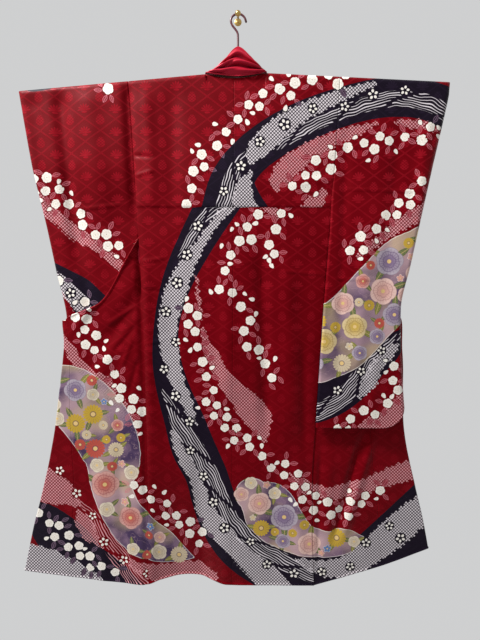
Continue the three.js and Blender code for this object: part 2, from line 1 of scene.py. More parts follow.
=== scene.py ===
# %% [markdown]
# # A furisode, hung open from its back
# A furisode is a young woman's long-sleeved silk kimono. It is sewn from straight lengths of
# cloth: two back panels, two fronts, two overlap panels, two sleeves and a collar. Here it hangs
# on a bar hanger from a small brass wall hook, and threads pull its fronts out to both sides.
# Every piece below is a thin wall of cloth on the form of its solid in the frame.

# %% The frame and its box
import math
import bpy
import numpy as np
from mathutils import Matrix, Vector


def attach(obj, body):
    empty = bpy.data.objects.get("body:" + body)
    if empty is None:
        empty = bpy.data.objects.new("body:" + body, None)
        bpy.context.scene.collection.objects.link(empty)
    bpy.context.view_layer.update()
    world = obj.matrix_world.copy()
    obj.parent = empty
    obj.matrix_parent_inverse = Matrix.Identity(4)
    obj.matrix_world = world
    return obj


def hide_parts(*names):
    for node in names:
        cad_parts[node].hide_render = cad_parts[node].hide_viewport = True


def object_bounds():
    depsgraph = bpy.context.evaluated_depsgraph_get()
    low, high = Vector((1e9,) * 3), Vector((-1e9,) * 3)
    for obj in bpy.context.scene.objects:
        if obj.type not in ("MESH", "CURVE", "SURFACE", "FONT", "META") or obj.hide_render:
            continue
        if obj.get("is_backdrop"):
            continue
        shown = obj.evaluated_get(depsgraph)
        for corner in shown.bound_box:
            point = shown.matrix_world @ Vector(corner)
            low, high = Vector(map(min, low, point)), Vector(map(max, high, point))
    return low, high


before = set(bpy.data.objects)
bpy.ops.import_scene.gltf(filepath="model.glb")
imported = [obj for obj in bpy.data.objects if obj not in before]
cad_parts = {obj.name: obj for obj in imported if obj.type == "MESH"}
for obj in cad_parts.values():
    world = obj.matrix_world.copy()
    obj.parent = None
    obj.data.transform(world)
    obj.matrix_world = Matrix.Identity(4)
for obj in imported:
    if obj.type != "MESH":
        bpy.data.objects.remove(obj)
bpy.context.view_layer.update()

# %% [markdown]
# The garment is measured in three numbers, in millimetres: x across it, `drop` below the left
# neck point, and `out` from the wall. The camera stands 1.5 m in front of the wall, a little
# below the middle of the back, and looks down by 6 degrees through a wide lens.

# %% Measures and camera
MM = 0.001
SHOULDER = 165                       # the neck point's distance below the wall hook
CAMERA = {"x": 6, "out": 1545, "drop": 581.7}
TILT = math.radians(6)
FRAME_HIGH = 640                     # the frame is 480 by 640 picture points
FRAME_MIDDLE = (240, 320)
FOCAL = 480                          # the lens's focal length in picture points
SENSOR = 36


def metres(x, drop, out):
    """The point in the frame's own metres: X across, Y into the wall, Z up from the hook."""
    return np.stack([x * MM, -out * MM, -(SHOULDER + drop) * MM], axis=-1)


camera = bpy.data.objects.new("camera", bpy.data.cameras.new("camera"))
bpy.context.scene.collection.objects.link(camera)
camera.location = metres(CAMERA["x"], CAMERA["drop"], CAMERA["out"])
camera.rotation_euler = (math.pi / 2 - TILT, 0, 0)
camera.data.sensor_width = SENSOR
camera.data.lens = SENSOR * FOCAL / FRAME_HIGH
camera.data.dof.use_dof = False
bpy.context.scene.camera = camera
print("camera", [round(v, 3) for v in camera.location])

# %% [markdown]
# ## Curves through tables
# A cloth edge is a smooth line through a few measured places. A table keeps them as rows under
# named columns, and `along` runs a curve through one column. It never swings past a row, so an
# edge that is straight in the table stays straight on the cloth.


# %% Tables and curves
def table(columns, *rows):
    """Rows of numbers under named columns, each column an array."""
    return dict(zip(columns.split(), np.array(rows, float).T))


def along(tab, key, column, at):
    """A cubic between each two rows. Its slope at a row is the harmonic mean of the slopes on
    both sides, and zero where they differ in sign."""
    x, y = tab[key], tab[column]
    at = np.clip(at, x[0], x[-1])
    i = np.clip(np.searchsorted(x, at, side="left") - 1, 0, len(x) - 2)
    slope = np.diff(y) / np.diff(x)
    product = slope[:-1] * slope[1:]
    total = np.where(product > 0, slope[:-1] + slope[1:], 1)
    tangent = np.concatenate([slope[:1], np.where(product > 0, 2 * product / total, 0), slope[-1:]])
    width = np.diff(x)[i]
    t = (at - x[i]) / width
    return ((2 * t**3 - 3 * t**2 + 1) * y[i] + (t**3 - 2 * t**2 + t) * width * tangent[i]
            + (3 * t**2 - 2 * t**3) * y[i + 1] + (t**3 - t**2) * width * tangent[i + 1])


def along_rows(tab, column, v):
    """The same where v runs from 0 at the first row to 1 at the last."""
    count = len(tab[column])
    rows = {"row": np.arange(count, dtype=float), "value": tab[column]}
    return along(rows, "row", "value", v * (count - 1))


def mix(a, b, t):
    """a where t is 0, b where it is 1, and in proportion between."""
    return a + (b - a) * t


def ease(t):
    """0 below 0, 1 above 1, and a smooth step between."""
    t = np.clip(t, 0, 1)
    return t * t * (3 - 2 * t)


print("half way from 0 to 1:", float(ease(0.5)))

# %% [markdown]
# ## The cut
# These are the panels' edges as they hang. The back panels run down either side of the centre
# seam. The fronts are ruled: each row is one straight line of the cloth, from the side seam to
# the overlap seam, and the lines turn over on their way down because the threads pull the fronts
# outwards. The sleeves are bags of two layers, whose outer part curls back.

# %% Sizes of the cut
CLOTH, COLLAR_CLOTH = 2, 3
SLEEVE_WIDTH, SLEEVE_LENGTH, SLEEVE_CORNER = 333, 1090, 60
OKUMI_WIDTH, COLLAR_WIDTH = 155, 55
BODY_LENGTH = 1620
TUCK_DROP, TUCK_STEP = 392, 1.6
TUCK_EASE = {"from": 100, "over": 200, "end": 2.5}
FOLD_RADIUS, ROD_OUT = 11, 35
QUARTER = FOLD_RADIUS * math.pi / 2
HANG_OUT = ROD_OUT + FOLD_RADIUS
CENTRE_TOP, CENTRE_HEM = -12, -22
NECK = {"left": -96, "right": 84, "dip": 12, "lower": 3}
SLOPE = {"left": 0.087, "right": 0.047, "rise": 3}
SIGN = {"left": -1, "right": 1}
BACK_SIDE = {
    "left": table("drop x out", (0, -329, 46), (230, -319, 45), (380, -312, 47), (476, -308, 48),
                  (645, -302, 50), (1092, -295, 52), (1300, -295, 56), (1620, -296, 68)),
    "right": table("drop x out", (0, 305, 46), (225, 295, 46), (375, 288, 44), (650, 271, 42),
                   (1092, 249, 42), (1260, 241, 47), (1395, 241, 53), (1620, 250, 60)),
}
CENTRE_OUT = table("drop out", (0, 47), (600, 50), (1092, 52), (1620, 59))
# how far the flute has swung in at the hem, and how low the hem hangs
HEM_FLUTE = table("x sink", (-300, 0), (-262, 30), (-184, 48), (-130, 46), (-80, 22), (-40, 4),
                  (0, 0))
FLUTE_START, FLUTE_CURVE = 1040, 1.4
HEM_LINE = table("x drop", (-711, 1578), (-556, 1590), (-443, 1601), (-296, 1616), (-160, 1606),
                 (-40, 1619), (250, 1620), (325, 1607), (405, 1586), (480, 1562), (634, 1507))
# each row is one ruling: its place at the side seam, and at the collar or overlap edge
FRONT = {
    "left": table(
        "side_x side_drop side_out edge_x edge_drop edge_out",
        (-328, 34, 24, -100, 14, 24), (-319, 228, 24, -143, 118, 21),
        (-308, 390, 41, -180, 200, 18), (-303, 520, 44, -228, 302, 18),
        (-300, 640, 46, -276, 405, 23), (-299, 700, 46, -309, 478, 35),
        (-299, 735, 47, -354, 558, 41), (-298, 765, 47, -433, 683, 43),
        (-298, 800, 47, -543, 742, 41), (-297, 880, 48, -533, 830, 43),
        (-296, 1060, 49, -539, 1045, 45), (-296.2, 1300, 54, -534, 1281, 48),
        (-296.6, 1450, 60, -547, 1435, 51), (-297.4, 1616, 67, -556, 1590, 56)),
    "right": table(
        "side_x side_drop side_out edge_x edge_drop edge_out",
        (304, 26, 24, 88, 11, 24), (293, 223, 24, 130, 118, 20), (284, 385, 38, 168, 205, 17),
        (275, 520, 38, 215, 308, 14), (269, 640, 38, 262, 408, 14), (266, 700, 38, 300, 480, 16),
        (264, 740, 38, 355, 565, 20), (262, 780, 38, 430, 665, 22), (260, 820, 38, 506, 736, 22),
        (257, 890, 38, 474, 850, 25), (247, 1110, 39, 430, 1100, 31),
        (242, 1310, 47, 453, 1302, 35), (244, 1440, 53, 466, 1432, 37),
        (251, 1620, 58, 480, 1562, 40)),
}
# how much of the overlap panel shows before it rolls back, and how far out that edge hangs
OKUMI = {
    "left": table("drop shows out", (742, 12, 39), (952, 33, 41), (1071, 49, 42), (1191, 76, 42),
                  (1313, 107, 43), (1438, 129, 43), (1590, 155, 42)),
    "right": table("drop shows out", (736, 14, 22), (915, 74, 23), (1100, 111, 25),
                   (1302, 131, 28), (1432, 147, 30), (1562, 155, 32)),
}
OKUMI_ROLL, OKUMI_FIRST = 4.5, 8 / 13
# x of a sleeve's seam and of its outer edge, and how far out its two layers hang
SLEEVE = {
    "left": table("drop inner outer back front", (0, -329.5, -661, 46, 24),
                  (225, -320.3, -632, 45, 24), (310, -317, -618, 38, 22),
                  (345, -314, -612, 34, 21), (390, -305, -604, 30, 20), (430, -303, -597, 28, 20),
                  (470, -313, -590, 28, 20), (560, -330, -575, 28, 20), (735, -335, -546, 28, 20),
                  (1090, -338, -546, 28, 20)),
    "right": table("drop inner outer back front", (0, 305.5, 644, 46, 24),
                   (225, 295.5, 601, 46, 25), (370, 289, 572, 50, 33), (480, 284.5, 550, 53.5, 41),
                   (560, 279, 534, 56, 47), (700, 270, 508, 59, 48.5), (1090, 251, 530, 62, 50)),
}
CURL_RADIUS, CURL_GAP, CURL_INSIDE = 4, 5, 9   # the front layer's curl lies inside the back's
SHOWN_CORNER = {"left": 36, "right": 70}   # the rounding where the bottom edge turns back
CORNER_FADE = 8                      # the power of the height by which a corner's rounding fades
# round the neck from left to right: the collar's seam, and its free edge
COLLAR_BACK = table(
    "seam_x seam_drop seam_out free_x free_drop free_out",
    (-99, 6, 20, -47, 4, 17), (-99, -3, 34, -58, -5, 26), (-94, -1, 50, -66, -9, 38),
    (-52, 7, 52, -37, -44, 44), (-4, 11, 53, 0, -77, 43), (46, 6, 52, 36, -50, 44),
    (82, -4, 50, 71, -12, 38), (87, -6, 34, 58, -8, 26), (87, 3, 20, 40, 1, 17))
print("cut:", BODY_LENGTH, "mm long, sleeves", SLEEVE_LENGTH, "mm")

# %% [markdown]
# ## Creases
# Folded silk keeps its press marks, and hanging silk has soft troughs where it is pulled. Each
# row is one of them, a straight trough (depth below 0) or ridge that fades at both ends. They
# are listed one by one, and differ in length, depth and width as real ones do.

# %% Troughs and ridges
CREASES = [
    # parts, from (x, drop), to (x, drop), half width, depth
    # the left sleeve hangs in broad flutes and drops away behind the shoulder seam
    ("left sleeve", (-545, -60), (-500, 640), 22, -11), ("left sleeve", (-455, -40), (-420, 520), 34, 5),
    ("back + left sleeve", (-336, -90), (-318, 480), 15, -9),
    ("left sleeve", (-625, -40), (-570, 520), 30, -5), ("left sleeve", (-500, 420), (-470, 760), 22, -5),
    # the back
    ("back", (-278, 0), (-262, 430), 22, 5), ("back", (-196, 0), (-205, 470), 28, -5),
    ("back", (150, 330), (300, 300), 12, 2), ("back", (-286, 470), (-276, 1150), 14, 4),
    ("back", (-30, 520), (-40, 1080), 28, 5), ("back", (66, 450), (98, 1180), 24, -9),
    ("back", (152, 480), (172, 1180), 28, 6), ("back", (206, 760), (216, 1200), 16, -4),
    ("back", (-215, 460), (-222, 1250), 30, -3.5), ("back", (-140, 1130), (-118, 1610), 20, -4),
    ("back", (112, 1180), (126, 1640), 24, -4.5), ("back", (190, 1130), (206, 1640), 22, 4.5),
    # the right sleeve
    ("right sleeve", (332, 60), (312, 1060), 15, -3.5), ("right sleeve", (405, 360), (366, 1080), 24, 5),
    ("right sleeve", (492, 60), (446, 860), 22, -4), ("right sleeve", (588, 40), (540, 460), 18, 4),
    ("right sleeve", (440, 700), (420, 1080), 20, 3.5),
    # the fronts, pulled out to both sides
    ("back + left front", (-311, 400), (-300, 1040), 11, -8),
    ("back + left front", (-302, 880), (-297, 1900), 11, -8),
    ("left front", (-345, 740), (-500, 1010), 24, 5), ("left front", (-280, 440), (-545, 810), 13, 7),
    ("left front", (-250, 560), (-440, 860), 26, -8),
    ("left front", (-388, 1120), (-372, 1640), 18, -7), ("left front", (-446, 1150), (-440, 1640), 22, 5),
    ("left front", (-318, 690), (-420, 760), 7, 3.2), ("left front", (-315, 750), (-400, 850), 8, -4),
    ("left front", (-330, 790), (-372, 895), 6, 3.2), ("left front", (-312, 850), (-352, 985), 7, -3.2),
    ("left front", (-480, 800), (-430, 1200), 28, -4),
    ("right front", (418, 1080), (306, 1500), 14, -10),
    ("right front", (446, 1090), (334, 1500), 15, 7), ("right front", (268, 1120), (262, 1640), 9, -4),
    ("right front", (300, 1150), (290, 1560), 18, 3.5),
    # press marks
    ("right sleeve", (290, 338), (585, 345), 3, 2.2), ("right sleeve", (284, 610), (430, 612), 3, 2.0),
    ("back", (120, 585), (300, 600), 3, 2.2), ("back", (-70, 566), (60, 560), 3, 1.2),
    ("back", (-326, 236), (-250, 244), 5, -3.2), ("back", (-322, 300), (-250, 282), 4, 2.6),
    ("back", (-312, 560), (-220, 545), 4, 2.4), ("back", (-308, 640), (-210, 655), 5, -2.2),
    ("back", (-306, 820), (-230, 800), 4, 1.8), ("left sleeve", (-520, 400), (-340, 380), 4, 2.0),
]
CREASE_FADE = 4                      # a crease fades over one part in four at both ends
DRIFT = table("length angle height phase", (520, 8, 1.1, 0.4), (310, 80, 0.5, 2.1), (190, 20, 0.45, 4.0),
              (97, -12, 0.28, 1.3), (61, 65, 0.16, 5.2), (37, -40, 0.09, 0.2))


def crease_lift(part, x, drop):
    """Each crease is a bell curve of the distance from its line, times a fade at both ends."""
    lift = np.zeros_like(x)
    for on, (x0, drop0), (x1, drop1), half, depth in CREASES:
        if part not in on.split(" + "):
            continue
        dx, dz = x1 - x0, drop1 - drop0
        length = math.hypot(dx, dz)
        t = ((x - x0) * dx + (drop - drop0) * dz) / length**2
        across = ((x - x0) * dz - (drop - drop0) * dx) / length
        lift += depth * ease(t * CREASE_FADE) * ease((1 - t) * CREASE_FADE) * np.exp(-((across / half) ** 2))
    return lift


def drift(x, drop):
    """A few long low waves of different lengths and directions, so that no stretch is dead flat."""
    lift = np.zeros_like(x)
    for length, angle, height, phase in zip(*DRIFT.values()):
        turn = math.radians(angle)
        run = x * math.cos(turn) + drop * math.sin(turn)
        lift += height * np.sin(2 * math.pi * run / length + phase)
    return lift


print(len(CREASES), "creases")

# %% [markdown]
# ## The forms of the panels
# Every panel is a function of two lengths along its own cloth, s1 across and s2 down, and gives
# where that bit of cloth hangs. It also gives the cloth's own sideways place, which differs from
# x where the cloth rolls back, because the dyed pattern is wrapped round with the cloth.


# %% Shoulders and rolls
def shoulder_drop(x):
    """The shoulder line falls away from the neck on both sides at its own slope."""
    left = SLOPE["left"] * (NECK["left"] - x)
    right = SLOPE["right"] * (x - NECK["right"]) - SLOPE["rise"]
    middle = mix(0, -SLOPE["rise"], (x - NECK["left"]) / (NECK["right"] - NECK["left"]))
    return np.where(x < NECK["left"], left, np.where(x > NECK["right"], right, middle))


def over_arm(s, side):
    """A quarter circle over the hanger's arm and then straight down: drop and out after s mm."""
    angle = np.minimum(s, QUARTER) / FOLD_RADIUS
    drop = FOLD_RADIUS * (1 - np.cos(angle)) + np.maximum(s - QUARTER, 0)
    return drop, ROD_OUT + side * FOLD_RADIUS * np.sin(angle)


def rolled(s, straight, radius):
    """Flat for `straight` mm, then a half circle, then back again: sideways place and depth."""
    angle = np.clip((s - straight) / radius, 0, math.pi)
    past = np.maximum(s - straight - math.pi * radius, 0)
    run = np.minimum(s, straight) + radius * np.sin(angle) - past
    return run, radius * (1 - np.cos(angle))


FLAT_SHARE, BEND_SHARE = 0.62, 0.82  # of the columns: flat up to here, bent up to there
ARC_SHARE = 0.8                      # the bend takes at most this much of what isn't flat
LEAST_FLAT = 2


def rolled_station(u, straight, radius, width):
    """The length of cloth before each column, so that the flat part, the bend and the return
    always keep the same columns."""
    rest = width - straight
    arc = np.minimum(math.pi * radius, ARC_SHARE * rest)
    on_flat = straight * u / FLAT_SHARE
    on_bend = straight + arc * (u - FLAT_SHARE) / (BEND_SHARE - FLAT_SHARE)
    on_return = straight + arc + (rest - arc) * (u - BEND_SHARE) / (1 - BEND_SHARE)
    return np.where(u < FLAT_SHARE, on_flat, np.where(u < BEND_SHARE, on_bend, on_return))


def flat_part(shows, radius, width):
    """The flat part of a width of cloth whose bend reaches `shows` mm sideways."""
    return np.clip(shows - radius, LEAST_FLAT, width - radius)


print("cloth over the arm:", round(QUARTER, 1), "mm on each side")

# %% [markdown]
# A back panel is one straight width of silk. It runs over the hanger's arm and down past the
# tuck, and at the hem a flute swings in to the wall, because nothing weighs that edge down.


# %% Back panel's form
def back_form(hand):
    """Across: from the centre seam to the side. Down: over the arm, past the tuck, to the hem,
    where a flute swings in to the wall."""
    side, neck = BACK_SIDE[hand], NECK[hand]

    def form(u, s):
        fold_drop, fold_out = over_arm(s, 1)
        top_x = mix(CENTRE_TOP, side["x"][0], u)
        in_neck = np.abs(top_x - CENTRE_TOP) < abs(neck - CENTRE_TOP) - 1
        share = np.clip((top_x - CENTRE_TOP) / (neck - CENTRE_TOP), 0, 1)
        top = shoulder_drop(top_x) + np.where(in_neck, NECK["dip"] * (1 - share**2) + NECK["lower"], 0)
        down = s / BODY_LENGTH
        hem = along(HEM_LINE, "x", "drop", mix(CENTRE_HEM, side["x"][-1], u))
        level = np.where(in_neck, s - (QUARTER - FOLD_RADIUS) * down, fold_drop)
        drop = level + top * (1 - down) + (hem - BODY_LENGTH + QUARTER - FOLD_RADIUS) * down
        x = mix(mix(CENTRE_TOP, CENTRE_HEM, down), along(side, "drop", "x", drop), u)
        out = mix(along(CENTRE_OUT, "drop", "out", drop), along(side, "drop", "out", drop), u)
        swing = np.clip((drop - FLUTE_START) / (BODY_LENGTH - FLUTE_START), 0, 1) ** FLUTE_CURVE
        raised = ease((drop - TUCK_EASE["from"]) / TUCK_EASE["over"])
        tuck = TUCK_STEP * raised * ease((TUCK_DROP - drop) / TUCK_EASE["end"])
        hanging = out - along(HEM_FLUTE, "x", "sink", x) * swing + tuck
        bent = fold_out + (hanging - HANG_OUT) * (s / QUARTER)
        return x, drop, np.where(in_neck | (s >= QUARTER), hanging, bent), x

    return form


print("the back hangs", HANG_OUT, "mm out from the wall")

# %% [markdown]
# Threads pull the fronts outwards, so a line of the weave that was level now slopes and turns
# over. The overlap panel is sewn to that edge and rolls back behind itself.


# %% Forms of the front and overlap panels
def front_form(hand):
    """Across: along one ruling. Down: v counts the rulings, and below 0 it is the shoulder fold.
    Where a ruling still points inwards, the cloth's own place is its mirror image in the side
    seam, as the panel would lie if it were opened out."""
    tab = FRONT[hand]

    def form(u, v):
        top_x = mix(tab["side_x"][0], tab["edge_x"][0], u)
        fold_drop, fold_out = over_arm((np.minimum(v, 0) + 1) * QUARTER, -1)
        w = np.maximum(v, 0)
        x = mix(along_rows(tab, "side_x", w), along_rows(tab, "edge_x", w), u)
        drop = mix(along_rows(tab, "side_drop", w), along_rows(tab, "edge_drop", w), u)
        out = mix(along_rows(tab, "side_out", w), along_rows(tab, "edge_out", w), u)
        x = np.where(v < 0, top_x, x)
        drop = np.where(v < 0, fold_drop + shoulder_drop(top_x), drop)
        side = along_rows(tab, "side_x", w)
        return x, drop, np.where(v < 0, fold_out, out), side + SIGN[hand] * np.abs(x - side)

    return form


def okumi_form(hand):
    """Across: from the seam on the front panel, flat, then rolled back behind itself."""
    tab, seam, sign = OKUMI[hand], front_form(hand), SIGN[hand]

    def form(u, t):
        seam_x, drop, seam_out, _ = seam(np.ones_like(t), mix(OKUMI_FIRST, 1, t))
        shows = along(tab, "drop", "shows", drop)
        straight = flat_part(shows, OKUMI_ROLL, OKUMI_WIDTH)
        s = rolled_station(u, straight, OKUMI_ROLL, OKUMI_WIDTH)
        run, back = rolled(s, straight, OKUMI_ROLL)
        to_edge = np.clip(run / np.maximum(shows, 1), 0, 1)
        x = seam_x + sign * run
        rise = along(HEM_LINE, "x", "drop", x) - along(HEM_LINE, "x", "drop", seam_x)
        out = mix(seam_out, along(tab, "drop", "out", drop), to_edge) - back
        return x, drop + rise * t**3, out, seam_x + sign * s

    return form


print(len(FRONT["left"]["side_x"]), "rulings on each front")

# %% [markdown]
# A sleeve layer hangs from the same arm, beside the body. Below the seam it is free, and its
# outer edge curls back in a half circle.


# %% Form of a sleeve layer
def sleeve_form(hand, layer):
    """Across: from the shoulder seam, flat, then curled back at the outer edge. Down: over the
    arm to the bottom edge, whose corner is cut to a quarter circle, as is the place where that
    edge turns back."""
    tab, sign = SLEEVE[hand], SIGN[hand]
    side = 1 if layer == "back" else -1
    inside = 0 if layer == "back" else CURL_INSIDE
    width = SLEEVE_WIDTH - 2 * inside
    round_off = SHOWN_CORNER[hand]

    def form(u, s):
        fold_drop, fold_out = over_arm(s, side)
        inner = along(tab, "drop", "inner", fold_drop)
        shows = sign * (along(tab, "drop", "outer", fold_drop) - inner) - inside
        hanging = along(tab, "drop", layer, fold_drop)
        between = hanging - along(tab, "drop", "front", fold_drop)
        radius = CURL_RADIUS + ((between + CURL_GAP) / 2 if layer == "back" else 0)
        straight = flat_part(shows, radius, width)
        across = rolled_station(u, straight, radius, width)
        run, back = rolled(across, straight, radius)
        x = inner + sign * run
        corner = np.clip((across - (width - SLEEVE_CORNER)) / SLEEVE_CORNER, 0, 1)
        shown = np.clip((run - (shows - round_off)) / round_off, 0, 1)
        cut = np.maximum(SLEEVE_CORNER * (1 - np.sqrt(1 - corner**2)),
                         round_off * (1 - np.sqrt(1 - shown**2)))
        down = s / SLEEVE_LENGTH
        drop = fold_drop - cut * down**CORNER_FADE + shoulder_drop(x) * (1 - down)
        out = np.where(s < QUARTER, fold_out, hanging) - back * ease(s / QUARTER)
        return x, drop, out, inner + sign * across

    return form


print("a sleeve is", SLEEVE_WIDTH, "by", SLEEVE_LENGTH, "mm")

# %% [markdown]
# The collar stands behind the neck as a gathered tent. Down both fronts it is a folded band on
# the wall side, square to the front's edge.

# %% Forms of the collar
COLLAR_BEHIND = 5.5                  # mm that the band lies behind the front
COLLAR_LEAN, LEAN_AT, LEAN_SPAN = 8, 0.66, 0.13   # where the front turns over, the band leans in
COLLAR_AIM, COLLAR_AIM_END = 0.05, 0.91   # the band is square to the line between points so far off
COLLAR_FOLDS_FROM, COLLAR_BULGE, COLLAR_FOLD_DEPTH = 0.18, 5, 8.5
COLLAR_FOLDS, FINE_FOLDS = 3.4, 6.3  # soft folds, and finer ones over them, from seam to free edge
COLLAR_BOW, COLLAR_SWAY, FINE_SHARE, PUCKER = 0.55, 0.12, 0.30, 1.2


def collar_back_form(u, v):
    """Across: round the neck from shoulder to shoulder. Down: from the seam to the free edge,
    gathered into soft folds that bow upwards in the middle."""
    def row(column):
        return along_rows(COLLAR_BACK, column, u)

    behind = ease((np.minimum(u, 1 - u) - COLLAR_FOLDS_FROM) * 6)
    bow = COLLAR_BOW * np.sin(math.pi * u) + COLLAR_SWAY * np.sin(9 * u + 2)
    wave = np.sin(2 * math.pi * (COLLAR_FOLDS * v + bow))
    wave = wave + FINE_SHARE * np.sin(2 * math.pi * (FINE_FOLDS * v - bow * 3) + 1)
    lift = behind * (COLLAR_FOLD_DEPTH * wave + COLLAR_BULGE) * np.sin(math.pi * v) ** 0.7
    lift = lift + behind * PUCKER * np.sin(31 * v - 23 * u) * np.sin(math.pi * v)
    x = mix(row("seam_x"), row("free_x"), v)
    drop = mix(row("seam_drop"), row("free_drop"), v)
    return x, drop, mix(row("seam_out"), row("free_out"), v) + lift, x


def collar_band_form(hand):
    """Across: square to the front's collar line, on the wall side. Down: along that line."""
    front, sign = front_form(hand), SIGN[hand]

    def line(v):
        return front(np.ones_like(v), v * OKUMI_FIRST)

    def form(u, v):
        near = np.clip(v, COLLAR_AIM, COLLAR_AIM_END)
        x1, drop1, _, _ = line(near + COLLAR_AIM)
        x0, drop0, _, _ = line(near - COLLAR_AIM)
        length = np.hypot(x1 - x0, drop1 - drop0)
        square_x, square_drop = -np.abs(drop1 - drop0) / length * sign, (x1 - x0) / length * sign
        x, drop, out, _ = line(v)
        lean = COLLAR_LEAN * u * np.exp(-(((v - LEAN_AT) / LEAN_SPAN) ** 2))
        x, drop = x + square_x * COLLAR_WIDTH * u, drop + square_drop * COLLAR_WIDTH * u
        return x, drop, out - COLLAR_BEHIND - lean, x

    return form


print("forms ready")

# %% [markdown]
# ## The dyed pattern
# The figured red silk carries three traditional kinds of dyeing: broad dark bands with their
# edges stitched tight, areas of tied dots (kanoko), and combed streaks. Each is like a brush
# stroke: a path with a width that changes on the way. A stroke is kept here as a few rows of
# frame points, laid on the cloth along the camera's sight lines, and every vertex stores its
# distance to the nearest stroke of each kind. A material turns that distance into a crisp edge,
# which a mesh of 5 mm cells could never show by itself.


# %% From the frame to the cloth
PLANE_OUT = 45                       # the pattern is drawn on one flat plane, this far out


def on_cloth(u, v):
    """The sight line through a frame point, cut with the pattern plane: x and drop."""
    reach = CAMERA["out"] - PLANE_OUT
    rise = (FRAME_MIDDLE[1] - v) / FOCAL
    z = reach * (rise * math.cos(TILT) - math.sin(TILT)) / (math.cos(TILT) + rise * math.sin(TILT))
    depth = reach * math.cos(TILT) - z * math.sin(TILT)
    return (u - FRAME_MIDDLE[0]) / FOCAL * depth + CAMERA["x"], CAMERA["drop"] - z


def on_plane(x, drop, out):
    """A point of the cloth carried along its own sight line to the pattern plane."""
    scale = (CAMERA["out"] - PLANE_OUT) / (CAMERA["out"] - out)
    return (CAMERA["x"] + (x - CAMERA["x"]) * scale,
            CAMERA["drop"] + (drop - CAMERA["drop"]) * scale)


print("the frame's middle is at", [round(float(v)) for v in on_cloth(*FRAME_MIDDLE)])

# %% [markdown]
# The strokes, from the broad dark band down to the thin ones. `half` is half the width, in frame
# points. A stroke can be kept to some of the panels, and to one side of the tuck, where the cloth
# above has been moved across the cloth below.

